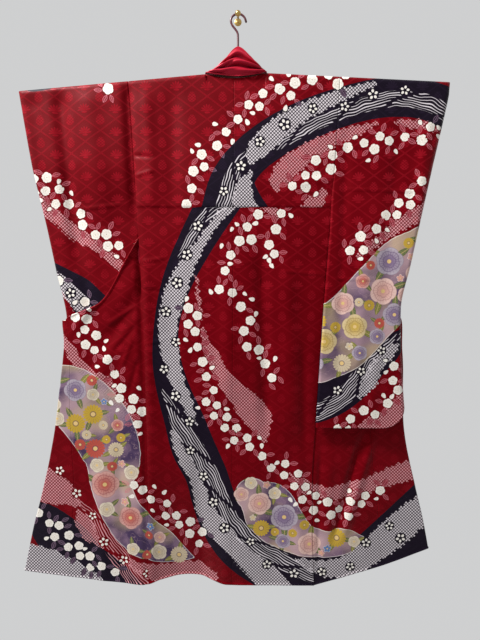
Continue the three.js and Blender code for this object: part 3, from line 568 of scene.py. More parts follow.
# %% Strokes
UPPER, LOWER = "above the tuck", "below the tuck"
BACK_AND_RIGHT = ("back", "right sleeve")
STROKES = [
    # kind, panels, side of the tuck, rows of (u, v, half)
    ("dark", BACK_AND_RIGHT, UPPER, [
        (480, 130, 21), (449, 110, 20), (420, 99, 19), (383, 98, 19), (345, 106, 19), (305, 121, 20),
        (272, 139, 20), (246, 160, 20), (231, 184, 22), (226, 215, 26)]),
    ("dark", BACK_AND_RIGHT, UPPER, [(243, 182, 10), (252, 199, 9), (262, 212, 8)]),
    ("dark", ("back", "right front"), LOWER, [
        (226, 190, 22), (211, 215, 20), (197, 240, 18), (182, 270, 16), (172, 298, 14), (166, 330, 12.5),
        (167, 362, 14.5), (174, 392, 17), (184, 420, 20), (193, 447, 22), (206, 474, 21),
        (214, 500, 22), (226, 526, 24), (247, 551, 25), (277, 571, 23), (316, 578, 22),
        (352, 570, 25), (385, 550, 30), (412, 527, 31), (440, 505, 34)]),
    ("dark", ("right front",), LOWER, [(330, 590, 20), (380, 575, 24), (440, 550, 30)]),
    ("dark", ("left sleeve",), "", [
        (40, 262, 6), (62, 276, 9), (80, 292, 15), (92, 306, 17), (120, 330, 17)]),
    ("dark", ("left sleeve",), "", [(28, 91, 0.5), (36, 89.5, 2), (48, 87.5, 2), (58, 86, 0.5)]),
    ("dark", ("right sleeve",), "", [
        (300, 408, 20), (330, 398, 20), (352, 384, 18), (368, 366, 17), (384, 352, 15), (402, 338, 9),
        (430, 326, 6)]),
    ("dark", ("left front",), "", [
        (20, 515, 12), (42, 520, 19), (64, 540, 24), (86, 560, 22), (112, 580, 20), (135, 600, 18)]),
    ("dark", ("left front",), "", [(8, 556, 22), (38, 572, 24), (76, 592, 24), (120, 620, 22)]),
    ("grey", BACK_AND_RIGHT, UPPER, [
        (374, 84, 1.5), (350, 92, 5), (325, 102, 7), (300, 114, 8.5), (276, 131, 11), (257, 150, 10),
        (250, 163, 2)]),
    ("grey", BACK_AND_RIGHT, UPPER, [(251, 172, 1), (245, 184, 7), (243, 197, 10), (246, 212, 14)]),
    ("grey", ("back",), LOWER, [
        (238, 200, 5), (222, 214, 4.5), (207, 234, 4), (194, 254, 6), (183, 274, 9), (174, 296, 11),
        (168, 324, 9.5), (170, 352, 9), (177, 380, 7), (186, 402, 6), (196, 424, 1)]),
    ("grey", ("back",), LOWER, [
        (172, 434, 2), (184, 458, 6), (197, 482, 6), (205, 508, 9), (222, 534, 10), (243, 556, 10),
        (266, 577, 12), (284, 596, 12)]),
    ("grey", ("back", "right front"), LOWER, [
        (298, 559, 2), (320, 568, 8), (346, 566, 11), (370, 552, 13), (392, 534, 16), (412, 517, 15),
        (432, 503, 15)]),
    ("grey", ("left sleeve",), "", [(54, 276, 4), (68, 290, 8), (80, 304, 8), (90, 318, 5)]),
    ("grey", ("right sleeve",), "", [
        (360, 396, 2), (370, 380, 8), (376, 366, 6), (388, 354, 6), (396, 346, 3)]),
    ("grey", ("left front",), "", [(18, 552, 8), (38, 560, 16), (62, 573, 18), (90, 585, 14)]),
    ("comb", BACK_AND_RIGHT, UPPER, [
        (470, 130, 8), (444, 112, 8), (424, 102, 8), (398, 99, 8), (370, 103, 7.5), (340, 114, 6.5),
        (312, 126, 6), (286, 142, 4), (277, 150, 1)]),
    ("comb", BACK_AND_RIGHT, UPPER, [(246, 152, 1), (236, 166, 6), (230, 184, 8), (224, 205, 8)]),
    ("comb", ("back",), LOWER, [
        (226, 202, 6), (208, 213, 6), (196, 228, 5), (186, 246, 3.5), (178, 258, 1)]),
    ("comb", ("back",), LOWER, [
        (162, 390, 1), (170, 405, 4), (179, 424, 8), (196, 449, 9), (211, 474, 8), (222, 498, 7),
        (233, 521, 8), (252, 542, 8), (278, 559, 9), (306, 573, 8), (334, 584, 4)]),
    ("comb", ("right sleeve",), "", [
        (300, 417, 8), (325, 409, 9), (346, 394, 9), (358, 378, 8), (370, 360, 6), (386, 346, 5),
        (402, 334, 3)]),
    ("pink", BACK_AND_RIGHT, UPPER, [
        (376, 124, 1), (356, 131, 5), (332, 140, 7), (308, 153, 9), (288, 168, 11), (278, 180, 8),
        (276, 190, 2)]),
    ("pink", BACK_AND_RIGHT, UPPER, [(397, 122, 1.5), (412, 124, 4), (426, 126, 4), (436, 131, 1)]),
    ("pink", ("back",), UPPER, [(324, 192, 3), (316, 202, 9), (308, 212, 9)]),
    ("pink", ("back",), LOWER, [(266, 206, 5), (273, 212, 5), (276, 220, 1)]),
    ("pink", ("back",), LOWER, [(197, 276, 0.8), (198, 296, 1.6), (201, 318, 2)]),
    ("pink", ("back",), LOWER, [
        (202, 330, 1.5), (209, 348, 5), (218, 366, 7), (230, 384, 9), (246, 402, 13), (258, 418, 14),
        (262, 431, 8), (264, 440, 3)]),
    ("pink", ("back", "right front"), LOWER, [
        (290, 474, 1), (305, 486, 6), (325, 493, 6), (350, 490, 8), (375, 482, 8), (400, 473, 10),
        (430, 466, 11)]),
    ("pink", ("left sleeve",), "", [
        (30, 192, 6), (46, 207, 7), (62, 221, 6), (78, 235, 7), (95, 244, 6), (110, 256, 5),
        (126, 270, 4)]),
    ("pink", ("right sleeve",), "", [
        (424, 208, 5), (412, 218, 7), (398, 226, 6), (382, 238, 4), (366, 251, 3), (356, 258, 1)]),
    ("pink", ("right sleeve",), "", [
        (360, 428, 3), (372, 424, 8), (388, 420, 10), (399, 404, 7), (402, 388, 3), (403, 376, 1)]),
    ("pink", ("left front",), "", [
        (56, 330, 4), (68, 346, 5), (80, 366, 5), (92, 377, 5), (104, 382, 8), (116, 398, 7), (128, 416, 6),
        (136, 436, 2)]),
    ("pink", ("left front",), "", [(30, 480, 18), (50, 487, 17), (66, 494, 12), (78, 503, 4)]),
    ("pink", ("left front",), "", [(78, 512, 2), (84, 524, 8), (92, 536, 7), (102, 546, 1)]),
    ("pink", ("left front", "back"), LOWER, [
        (128, 562, 3), (148, 572, 8), (172, 571, 9), (195, 569, 9), (212, 576, 6)]),
    ("streak", ("left front",), "", [
        (78, 500, 1), (90, 512, 5), (102, 530, 7), (116, 552, 9), (132, 574, 10), (146, 594, 10)]),
    ("picture", ("left front", "back"), LOWER, [
        (40, 395, 30), (72, 398, 32), (98, 424, 33), (112, 456, 29), (112, 486, 21), (122, 512, 20),
        (140, 535, 22), (163, 546, 18), (184, 554, 7), (194, 557, 1)]),
    ("picture", ("back", "right front"), LOWER, [
        (252, 494, 17), (266, 506, 27), (282, 525, 25), (304, 540, 17), (328, 544, 14), (348, 540, 13),
        (362, 537, 2)]),
    ("picture", ("right sleeve",), "", [
        (424, 250, 24), (404, 266, 30), (384, 292, 34), (360, 318, 34), (338, 338, 36), (316, 350, 34)]),
]
print(len(STROKES), "strokes,", sum(row[2] == LOWER for row in STROKES), "of them below the tuck")

# %% [markdown]
# A stroke's rows become a smooth chain of short straight pieces on the cloth. The distance to the
# nearest of them, less the half width there, is the distance to the stroke's edge.

# %% Distance to a stroke
SMOOTHING = 5                        # pieces for each two rows
FAR = 40.0                           # mm: beyond this, distance no longer matters


def smooth_path(rows):
    """A curve through every row, as a chain of short straight pieces: each number of a row is a
    cubic (Catmull-Rom) of its four nearest rows."""
    points = np.array(rows, float)
    padded = np.vstack([2 * points[0] - points[1], points, 2 * points[-1] - points[-2]])
    t = np.arange(SMOOTHING)[:, None] / SMOOTHING
    chain = []
    for a, b, c, d in zip(padded, padded[1:], padded[2:], padded[3:]):
        chain.append(b + t * (c - a) / 2 + t**2 * (2 * a - 5 * b + 4 * c - d) / 2
                     + t**3 * (3 * b - a - 3 * c + d) / 2)
    return np.vstack(chain + [points[-1:]])


def laid(rows):
    """A stroke's rows laid on the cloth: x, drop and half width in millimetres."""
    chain = smooth_path(rows)
    x, drop = on_cloth(chain[:, 0], chain[:, 1])
    right, _ = on_cloth(chain[:, 0] + chain[:, 2], chain[:, 1])
    return np.stack([x, drop, right - x], axis=1)


def stroke_distance(x, drop, chain):
    """The signed distance to the stroke's edge, below zero inside it, with the distance run
    along the path and the distance to its side. Each point takes its nearest straight piece."""
    start, step = chain[:-1, :2], np.diff(chain[:, :2], axis=0)
    lengths = np.hypot(*step.T)
    before = np.concatenate([[0], np.cumsum(lengths)[:-1]])
    best = np.full(x.shape, np.inf)
    edge, run, side = (np.full(x.shape, FAR) for _ in range(3))
    for (x0, d0), (dx, dd), length, past, half0, half1 in zip(
            start, step, lengths, before, chain[:-1, 2], chain[1:, 2]):
        t = np.clip(((x - x0) * dx + (drop - d0) * dd) / length**2, 0, 1)
        away_x, away_d = x - x0 - t * dx, drop - d0 - t * dd
        away = np.hypot(away_x, away_d)
        nearer = away < best
        best = np.where(nearer, away, best)
        edge = np.where(nearer, away - mix(half0, half1, t), edge)
        run = np.where(nearer, past + t * length, run)
        side = np.where(nearer, away * np.sign(dx * away_d - dd * away_x), side)
    return np.minimum(edge, FAR), run, side


KINDS = ("dark", "grey", "comb", "pink", "streak", "picture")
LAID = [(kind, panels, where, laid(rows)) for kind, panels, where, rows in STROKES]


def zones(part, x, drop):
    """For each kind, the distance to its nearest stroke, and along and across for combing."""
    distance = {kind: np.full(x.shape, FAR) for kind in KINDS}
    run, side = np.zeros_like(x), np.zeros_like(x)
    for kind, panels, where, chain in LAID:
        if part not in panels:
            continue
        reach = chain[:, 2].max() + FAR
        near = ((x > chain[:, 0].min() - reach) & (x < chain[:, 0].max() + reach)
                & (drop > chain[:, 1].min() - reach) & (drop < chain[:, 1].max() + reach))
        if where == UPPER:
            near &= drop < TUCK_DROP
        elif where == LOWER:
            near &= drop >= TUCK_DROP - 1
        if not near.any():
            continue
        edge, along_it, across_it = stroke_distance(x[near], drop[near], chain)
        closer = edge < distance[kind][near]
        distance[kind][near] = np.minimum(edge, distance[kind][near])
        if kind in ("comb", "streak"):
            run[near] = np.where(closer, along_it, run[near])
            side[near] = np.where(closer, across_it, side[near])
    return distance, run, side


print(len(KINDS), "kinds of strokes")

# %% [markdown]
# ## Blossoms
# White plum blossoms, single petals and tied-dot leaves drift along the strokes, and small
# five-dot plums lie on the dark bands. They are common kimono motifs. Each spray is a path. The
# blossoms follow it at even steps, swing from side to side by chance, and none lies on another.
# Then leaves and loose petals are tried round each blossom, and kept where there is room.

# %% Sprays
BLOSSOM, PETAL, LEAF, FIVE_DOTS, ROSETTE, DAISY, BELL, GREEN_LEAF = range(1, 9)
SPRAYS = [
    # panels, side of the tuck, half width in mm, rows of (u, v)
    (BACK_AND_RIGHT, UPPER, 24, [
        (350, 76), (318, 80), (288, 92), (262, 102), (240, 118), (222, 142), (203, 162), (194, 186),
        (188, 206)]),
    (BACK_AND_RIGHT, UPPER, 32, [(434, 134), (396, 136), (364, 144), (336, 156), (312, 172), (292, 192)]),
    (("back",), LOWER, 30, [
        (262, 212), (246, 238), (230, 260), (226, 285), (238, 306), (246, 330), (255, 352),
        (267, 374), (277, 392)]),
    (("back",), LOWER, 20, [(284, 210), (277, 232), (271, 262)]),
    (("back", "right front"), LOWER, 30, [
        (192, 304), (194, 332), (199, 362), (209, 392), (222, 416), (238, 436), (256, 450), (275, 462),
        (292, 478), (306, 495), (326, 509), (348, 509), (366, 498), (388, 490)]),
    (("right sleeve",), "", 24, [(424, 178), (412, 200), (396, 212), (380, 228), (364, 242), (352, 258)]),
    (("right sleeve",), "", 22, [(398, 362), (397, 384), (384, 402), (364, 414), (338, 429)]),
    (("left sleeve",), "", 26, [(34, 172), (52, 190), (68, 208), (84, 222), (100, 236), (120, 252)]),
    (("left sleeve",), "", 14, [(58, 276), (76, 292), (92, 302)]),
    (("left front",), "", 28, [
        (76, 312), (88, 330), (92, 350), (106, 362), (116, 380), (128, 400), (146, 426)]),
    (("left front", "back"), "", 24, [
        (138, 480), (146, 500), (160, 504), (174, 516), (192, 528), (208, 546)]),
    (("left front",), "", 26, [(36, 510), (52, 522), (64, 538), (78, 549), (94, 562), (114, 576)]),
    (("back", "left sleeve"), "", 12, [(104, 86), (116, 86)]),
]
PLUM_RUNS = [
    (BACK_AND_RIGHT, UPPER, [
        (420, 96), (396, 94), (366, 94), (336, 108), (300, 116), (274, 126), (250, 160), (226, 180),
        (214, 203)]),
    (("back", "right front"), LOWER, [
        (208, 214), (198, 234), (186, 254), (177, 276), (170, 310), (172, 342), (164, 362), (174, 388),
        (184, 418), (193, 440), (198, 468), (212, 500), (222, 520), (246, 543), (284, 571), (330, 573),
        (360, 552), (396, 521), (404, 548)]),
    (("right sleeve",), "", [(322, 392), (342, 384), (372, 364), (386, 347)]),
    (("left front",), "", [
        (52, 459), (64, 470), (84, 508), (98, 524), (114, 550), (124, 566), (156, 574),
        (184, 566)]),
    (("left sleeve",), "", [(62, 280), (84, 300)]),
]
TINTS = [(0.36, 0.065, 0.045), (0.48, 0.24, 0.20), (0.13, 0.080, 0.16), (0.40, 0.26, 0.035),
         (0.46, 0.37, 0.25), (0.10, 0.15, 0.29), (0.16, 0.16, 0.045), (0.10, 0.12, 0.05)]
CORAL, ROSE, PLUM, YELLOW, CREAM, BLUE, OLIVE, MOSS = range(8)
print(len(SPRAYS), "sprays and", len(PLUM_RUNS), "runs of five-dot plums")

# %% [markdown]
# The draws come from one seeded generator, so the same blossoms fall in the same places each run.

# %% Scattering the motifs
SEED, ANY_TURN, ALL_ROUND = 11, (0, 6), (0, 6.3)
# lengths in mm; a gap below 0 lets outlines overlap
PLUMS = {"apart": 94, "swing": 14, "radius": (14.5, 17.5)}
BLOSSOMS = {"apart": 25, "side": (0.05, 0.85), "radius": (13.6, 17), "gap": 1.5}
LEAVES = {"count": 4, "out": 13.5, "radius": (12.5, 15), "lean": 0.35, "gap": -7.5}
PETALS = {"count": 3, "out": (10, 26), "radius": (8, 10), "gap": -2}


class Motifs:
    """All the motifs of one layer: rows of panels, tuck side, x, drop, radius, turn, kind, tint."""

    def __init__(self):
        self.rows = []

    def clear(self, panels, x, drop, radius, gap):
        """Whether a motif of that radius would lie clear of all the others on its panels."""
        return all(math.hypot(x - row[2], drop - row[3]) > radius + row[4] + gap
                   for row in self.rows if set(row[0]) & set(panels))

    def add(self, panels, where, x, drop, radius, turn, kind, tint=CREAM, gap=3.0):
        """Keeps a motif if it lies clear of the others, and says whether it does."""
        if self.clear(panels, x, drop, radius, gap):
            self.rows.append((panels, where, x, drop, radius, turn, kind, tint))
            return True
        return False

    def on(self, part):
        """The motifs that lie on one of the panels."""
        return [row for row in self.rows if part in row[0]]


upper_layer, lower_layer = Motifs(), Motifs()
rng = np.random.default_rng(SEED)


def walk(rows, spacing):
    """Places at even steps along a path on the cloth, with the path's direction there."""
    chain = smooth_path([(u, v, 0) for u, v in rows])
    x, drop = on_cloth(chain[:, 0], chain[:, 1])
    run = np.concatenate([[0], np.cumsum(np.hypot(np.diff(x), np.diff(drop)))])
    at = np.arange(spacing / 2, run[-1], spacing)
    turn = np.arctan2(np.gradient(drop), np.gradient(x))
    return zip(np.interp(at, run, x), np.interp(at, run, drop), np.interp(at, run, np.unwrap(turn)))


def beside(x, drop, reach, angle):
    """The place `reach` mm away in the direction of the angle."""
    return x + reach * math.cos(angle), drop + reach * math.sin(angle)


for panels, where, rows in PLUM_RUNS:
    for place, (x, drop, turn) in enumerate(walk(rows, PLUMS["apart"])):
        swing = PLUMS["swing"] * math.sin(2.4 * place + 1)
        upper_layer.add(panels, where, x - swing * math.sin(turn), drop + swing * math.cos(turn),
                        rng.uniform(*PLUMS["radius"]), rng.uniform(*ANY_TURN), FIVE_DOTS)
for panels, where, width, rows in SPRAYS:
    blossoms = []
    for place, (x, drop, turn) in enumerate(walk(rows, BLOSSOMS["apart"])):
        side = (-1) ** place * rng.uniform(*BLOSSOMS["side"]) * width
        x, drop = x - side * math.sin(turn), drop + side * math.cos(turn)
        radius = rng.uniform(*BLOSSOMS["radius"])
        if upper_layer.add(panels, where, x, drop, radius, rng.uniform(*ANY_TURN), BLOSSOM,
                           gap=BLOSSOMS["gap"]):
            blossoms.append((x, drop, radius))
    for x, drop, radius in blossoms:
        for angle in rng.uniform(*ALL_ROUND, LEAVES["count"]):
            leaf_x, leaf_drop = beside(x, drop, radius + LEAVES["out"], angle)
            upper_layer.add(panels, where, leaf_x, leaf_drop, rng.uniform(*LEAVES["radius"]),
                            angle - math.pi / 2 + rng.normal(0, LEAVES["lean"]), LEAF,
                            gap=LEAVES["gap"])
    for x, drop, radius in blossoms:
        for angle in rng.uniform(*ALL_ROUND, PETALS["count"]):
            petal_x, petal_drop = beside(x, drop, radius + rng.uniform(*PETALS["out"]), angle)
            upper_layer.add(panels, where, petal_x, petal_drop, rng.uniform(*PETALS["radius"]),
                            rng.uniform(*ANY_TURN), PETAL, gap=PETALS["gap"])
print(len(upper_layer.rows), "motifs in the sprays")

# %% [markdown]
# A painted area holds generic flowers: the large ones are tried first, then smaller ones for the
# gaps between them, with green leaves laid below.

# %% Bouquets for the painted areas
BOUQUETS = [
    # kind, least and most radius in mm, how many tries, share of tries, tints
    (ROSETTE, 36, 46, 80, 0.8, (ROSE, CORAL, PLUM, YELLOW)),
    (DAISY, 26, 34, 120, 0.7, (YELLOW, CREAM, CORAL)),
    (ROSETTE, 20, 28, 300, 0.8, (CORAL, CREAM, ROSE, PLUM)),
    (DAISY, 14, 19, 400, 0.7, (YELLOW, CORAL, CREAM)),
    (BELL, 11, 15, 300, 0.5, (BLUE, CREAM, ROSE)),
]
MARGIN = 60                          # mm round the stroke's path where a flower may be tried
INSIDE, OVERLAP = 0.75, 0.12         # in radii: least depth inside the edge, and overlap
GREENS = {"count": 6, "out": (0.95, 1.25), "least": 9, "share": 0.45, "gap": -7}


def edge_distance(chain, x, drop):
    """The signed distance of one place from a stroke's edge."""
    edge, _, _ = stroke_distance(np.array([x]), np.array([drop]), chain)
    return float(edge[0])


for kind, panels, where, chain in LAID:
    if kind != "picture":
        continue
    low, high = chain[:, :2].min(axis=0) - MARGIN, chain[:, :2].max(axis=0) + MARGIN
    for form, least, most, tries, share, tints in BOUQUETS:
        for x, drop in rng.uniform(low, high, (tries, 2)):
            radius = rng.uniform(least, most)
            if rng.uniform() > share or edge_distance(chain, x, drop) > -radius * INSIDE:
                continue
            if upper_layer.add(panels, where, x, drop, radius, rng.uniform(*ANY_TURN), form,
                               int(rng.choice(tints)), gap=-OVERLAP * radius):
                for _ in range(GREENS["count"]):
                    turn = rng.uniform(*ALL_ROUND)
                    leaf_x, leaf_drop = beside(x, drop, radius * rng.uniform(*GREENS["out"]), turn)
                    lower_layer.add(panels, where, leaf_x, leaf_drop,
                                    GREENS["least"] + radius * GREENS["share"], turn, GREEN_LEAF,
                                    int(rng.choice((OLIVE, MOSS))), gap=GREENS["gap"])
print(len(upper_layer.rows), "motifs above,", len(lower_layer.rows), "leaves below")

# %% [markdown]
# Each face of a cloth's mesh takes the nearest motif, and its corners keep their places inside
# that motif. The outline itself is worked out in the material, so it stays crisp.

# %% From motifs to faces
MOTIF_REACH = 9.0                    # mm: one cell of the mesh and the tied halo


def motif_faces(layer, part, centre_x, centre_drop):
    """For each face the motif that it belongs to, or -1: the one whose outline is nearest, if it
    is nearer than one cell and the tied halo round it."""
    rows = layer.on(part)
    owner = np.full(len(centre_x), -1)
    nearest = np.full(len(centre_x), MOTIF_REACH)
    for index, (_, where, x, drop, radius, *_) in enumerate(rows):
        away = np.hypot(centre_x - x, centre_drop - drop) - radius
        nearer = away < nearest
        if where == UPPER:
            nearer &= centre_drop < TUCK_DROP
        elif where == LOWER:
            nearer &= centre_drop > TUCK_DROP
        owner[nearer] = index
        nearest[nearer] = away[nearer]
    return owner, rows


print(len(upper_layer.on("back")), "motifs lie on the back")

# %% [markdown]
# ## A wall of cloth
# Each piece is a closed wall: the form's points moved out to both sides along the surface's own
# normal. Near an edge the two sides run together in a half circle, so a seam shows as the soft
# groove it is. The outer side takes the dyed silk, and the side towards the body the lining, but
# for a narrow strip along the open slits between body and sleeve, where the silk is turned in.

# %% The cloth wall
EDGE_ROUND = 2.6                     # mm over which an edge rounds off
UNDER = 3.5                          # mm of seam allowance that runs on under the neighbour
UNDER_DEPTH = 2.6
TURN_IN = 9                          # mm of the outer silk turned in along the open slits
SLIT = {"from": 375, "body_to": 800, "sleeve_to": 1100}   # drops where a sleeve hangs free


def stations(length, cell, close=(0.5, 1.3, 2.8)):
    """Places along an edge: a few close to both ends for the rounding, then even cells."""
    ends = np.array(close)
    count = max(2, int(round((length - 2 * close[-1]) / cell)))
    middle = np.linspace(close[-1], length - close[-1], count + 1)[1:-1]
    return np.concatenate([[0], ends, middle, length - ends[::-1], [length]])


def normals(points):
    """The cross product of the two central differences of the grid, at unit length."""
    n = np.cross(np.gradient(points, axis=0), np.gradient(points, axis=1))
    return n / np.maximum(np.linalg.norm(n, axis=2, keepdims=True), 1e-12)


def put_attribute(mesh, name, values, domain):
    """Stores rows of three numbers on the mesh's points, corners or faces."""
    layer = mesh.attributes.new(name, "FLOAT_VECTOR", domain)
    layer.data.foreach_set("vector", np.ascontiguousarray(values, dtype=np.float32).ravel())


def grid_faces(nu, nv):
    """Quads of a grid whose points are numbered down the columns."""
    i, j = np.meshgrid(np.arange(nu - 1), np.arange(nv - 1), indexing="ij")
    a = (i * nv + j).ravel()
    return np.stack([a, a + nv, a + nv + 1, a + 1], axis=1)


def rim_faces(nu, nv):
    """Quads that join the outer grid's border to the inner one's, all the way round."""
    top, bottom = np.arange(nu) * nv, np.arange(nu) * nv + nv - 1
    left, right = np.arange(nv), (nu - 1) * nv + np.arange(nv)
    ring = np.concatenate([top[:-1], right[:-1], bottom[:0:-1], left[:0:-1]])
    after, below = np.roll(ring, -1), nu * nv
    return np.stack([ring, ring + below, after + below, after], axis=1)


def build_mesh(name, points, faces, materials, slots):
    """An object of quads whose points are already in the frame's metres."""
    mesh = bpy.data.meshes.new(name)
    mesh.vertices.add(len(points))
    mesh.vertices.foreach_set("co", np.ascontiguousarray(points, dtype=np.float32).ravel())
    mesh.loops.add(faces.size)
    mesh.loops.foreach_set("vertex_index", faces.ravel().astype(np.int32))
    mesh.polygons.add(len(faces))
    mesh.polygons.foreach_set("loop_start", np.arange(len(faces), dtype=np.int32) * 4)
    mesh.polygons.foreach_set("material_index", np.asarray(slots, dtype=np.int32))
    mesh.polygons.foreach_set("use_smooth", np.ones(len(faces), dtype=bool))
    mesh.update(calc_edges=True)
    mesh.validate()
    for material in materials:
        mesh.materials.append(material)
    piece = bpy.data.objects.new(name, mesh)
    bpy.context.scene.collection.objects.link(piece)
    return piece


print("rows of a 100 mm edge:", stations(100, 5).round(1))

# %% [markdown]
# One function makes every cloth piece: it lays the creases on the form, gives it a thickness,
# runs the seam allowance on beneath the neighbour, and stores what the dye needs.

# %% A wall from a form
EDGE_SHARE = 0.12                    # of the thickness, left at the very edge
HEM_ROLL, HEM_REACH = 1.9, 3.2       # mm that the rolled hem adds to half the thickness, its radius
SIDE_ROLL, SIDE_REACH = 2.2, 4       # and those of the soft fold along the collar line
ROLL_START, ROLL_END = 8, 30         # how steeply the soft fold starts and ends
DRIFT_SHARE, CREASE_FROM = 0.8, 60   # creases reach their full depth 60 mm down the cloth


def runs(middle):
    """The lengths along the cloth from its first column and from its first row."""
    across_mm = np.linalg.norm(np.diff(middle, axis=0), axis=2)
    down_mm = np.linalg.norm(np.diff(middle, axis=1), axis=2)
    columns, rows = middle.shape[:2]
    run_u = np.vstack([np.zeros((1, rows)), np.cumsum(across_mm, axis=0)])
    run_v = np.hstack([np.zeros((columns, 1)), np.cumsum(down_mm, axis=1)])
    return run_u, run_v


def half_thickness(run_u, run_v, v, thickness, hem, rolled_until):
    """Half the wall's thickness. It runs down to a thin edge in a quarter circle, and swells in
    a half circle where the hem or the collar line is rolled."""
    to_side, to_hem = run_u[-1] - run_u, run_v[:, -1:] - run_v
    to_edge = np.minimum(np.minimum(run_u, to_side), np.minimum(run_v, to_hem))
    inward = 1 - np.clip(to_edge / EDGE_ROUND, 0, 1)
    half = thickness / 2 * mix(EDGE_SHARE, 1, np.sqrt(np.clip(1 - inward**2, 0, 1)))
    if hem:
        half = half + HEM_ROLL * np.sqrt(np.clip(1 - ((to_hem - HEM_REACH) / HEM_REACH) ** 2, 0, 1))
    if rolled_until is not None:
        roll = np.sqrt(np.clip(1 - ((to_side - SIDE_REACH) / SIDE_REACH) ** 2, 0, 1))
        half = half + SIDE_ROLL * roll * ease((rolled_until - v) * ROLL_END) * ease(v * ROLL_START)
    return half


def cloth_wall(name, part, form, us, vs, materials, outward=-1, under=(), hem=False,
               rolled_until=None, thickness=CLOTH, creased=True):
    """The form at the grid's points, with its creases, thickened and dyed. `under` names the
    side edges, "first" or "last", that run on beneath a neighbour; `hem` rolls the last row, and
    the last column is rolled as far as `rolled_until`. A face of the inner side is silk where at
    least two of its corners lie on a slit's turned-in strip."""
    u, v = np.meshgrid(us, vs, indexing="ij")
    x, drop, out, across = form(u, v)
    middle = np.stack([x, -out, -drop], axis=-1)
    n = normals(middle)
    flip = 1 if n[len(us) // 4, -len(vs) // 5, 1] * outward > 0 else -1
    n = n * flip
    run_u, run_v = runs(middle)
    half = half_thickness(run_u, run_v, v, thickness, hem, rolled_until)
    if creased:
        lift = crease_lift(part, x, drop) + DRIFT_SHARE * drift(x, drop)
        middle[..., 1] -= lift * ease(run_v / CREASE_FROM) * np.abs(n[..., 1])
        n = normals(middle) * flip
    for edge, column, next_column in (("first", 0, 1), ("last", -1, -2)):
        if edge in under:
            away = middle[column] - middle[next_column]
            away = away / np.maximum(np.linalg.norm(away, axis=1, keepdims=True), 1e-9)
            middle[column] = middle[column] + away * UNDER - n[column] * UNDER_DEPTH
    outer, wall = middle + n * half[..., None], middle - n * half[..., None]
    points = np.concatenate([outer.reshape(-1, 3), wall.reshape(-1, 3)]) * MM
    points[:, 2] -= SHOULDER * MM
    nu, nv = len(us), len(vs)
    skin, rim = grid_faces(nu, nv), rim_faces(nu, nv)
    if flip < 0:
        skin, rim = skin[:, ::-1], rim[:, ::-1]
    faces = np.concatenate([skin, skin[:, ::-1] + nu * nv, rim])
    slit_end = SLIT["sleeve_to"] if "sleeve" in part else SLIT["body_to"]
    on_slit = (run_u < TURN_IN) & (drop > SLIT["from"]) & (drop < slit_end) & ("first" in under)
    inside_slots = np.where(on_slit.ravel()[skin].mean(axis=1) > 0.4, 0, 1)
    slots = np.concatenate([np.zeros(len(skin)), inside_slots, np.zeros(len(rim))])
    piece = build_mesh(name, points, faces, materials, slots)
    dye(piece, part, faces, across, drop, out, len(skin))
    return piece


def both_sides(*columns):
    """Values of the form's points, one column each, given to the outer and the inner side."""
    return np.tile(np.stack(columns, axis=1), (2, 1))


def dye(piece, part, faces, across, drop, out, skin_count):
    """Stores the cloth's place, the zones and the motifs on the mesh, for the silk's material."""
    mesh = piece.data
    x, down = on_plane(across.ravel(), drop.ravel(), out.ravel())
    distance, run, side = zones(part, x, down)
    for stored, kinds in (("zones_dark", KINDS[:3]), ("zones_red", KINDS[3:])):
        put_attribute(mesh, stored, both_sides(*(distance[kind] for kind in kinds)), "POINT")
    put_attribute(mesh, "combing", both_sides(run, side, drop.ravel()), "POINT")
    x, down = np.tile(x, 2), np.tile(down, 2)
    corner_x, corner_d = x[faces], down[faces]
    layer = mesh.uv_layers.new(name="cloth")
    layer.data.foreach_set("uv", (np.stack([corner_x, -corner_d], axis=-1) * MM).astype(np.float32).ravel())
    centre_x, centre_d = corner_x[:skin_count].mean(axis=1), corner_d[:skin_count].mean(axis=1)
    for stored, motifs in (("motif", upper_layer), ("greenery", lower_layer)):
        owner, rows = motif_faces(motifs, part, centre_x, centre_d)
        local = np.zeros((len(faces), 4, 3))
        tint = np.zeros((len(faces), 3))
        owned = np.flatnonzero(owner >= 0)
        if len(owned):
            mx, md, radius, turn, kind, colour = np.array(
                [row[2:8] for row in rows], float)[owner[owned]].T[:, :, None]
            dx, dd = corner_x[owned] - mx, corner_d[owned] - md
            local[owned, :, 0] = (dx * np.cos(turn) + dd * np.sin(turn)) / radius
            local[owned, :, 1] = (dd * np.cos(turn) - dx * np.sin(turn)) / radius
            local[owned, :, 2] = kind
            tint[owned] = np.array(TINTS)[colour[:, 0].astype(int)]
        put_attribute(mesh, stored, local.reshape(-1, 3), "CORNER")
        put_attribute(mesh, stored + "_tint", tint, "FACE")


print("cloth walls ready")

# %% [markdown]
# ## Writing a material as a formula
# A pattern like this one takes some hundred nodes. They are easier to read as arithmetic, so
# `Field` wraps the output of a node, and +, -, * and / between fields make the Math nodes.


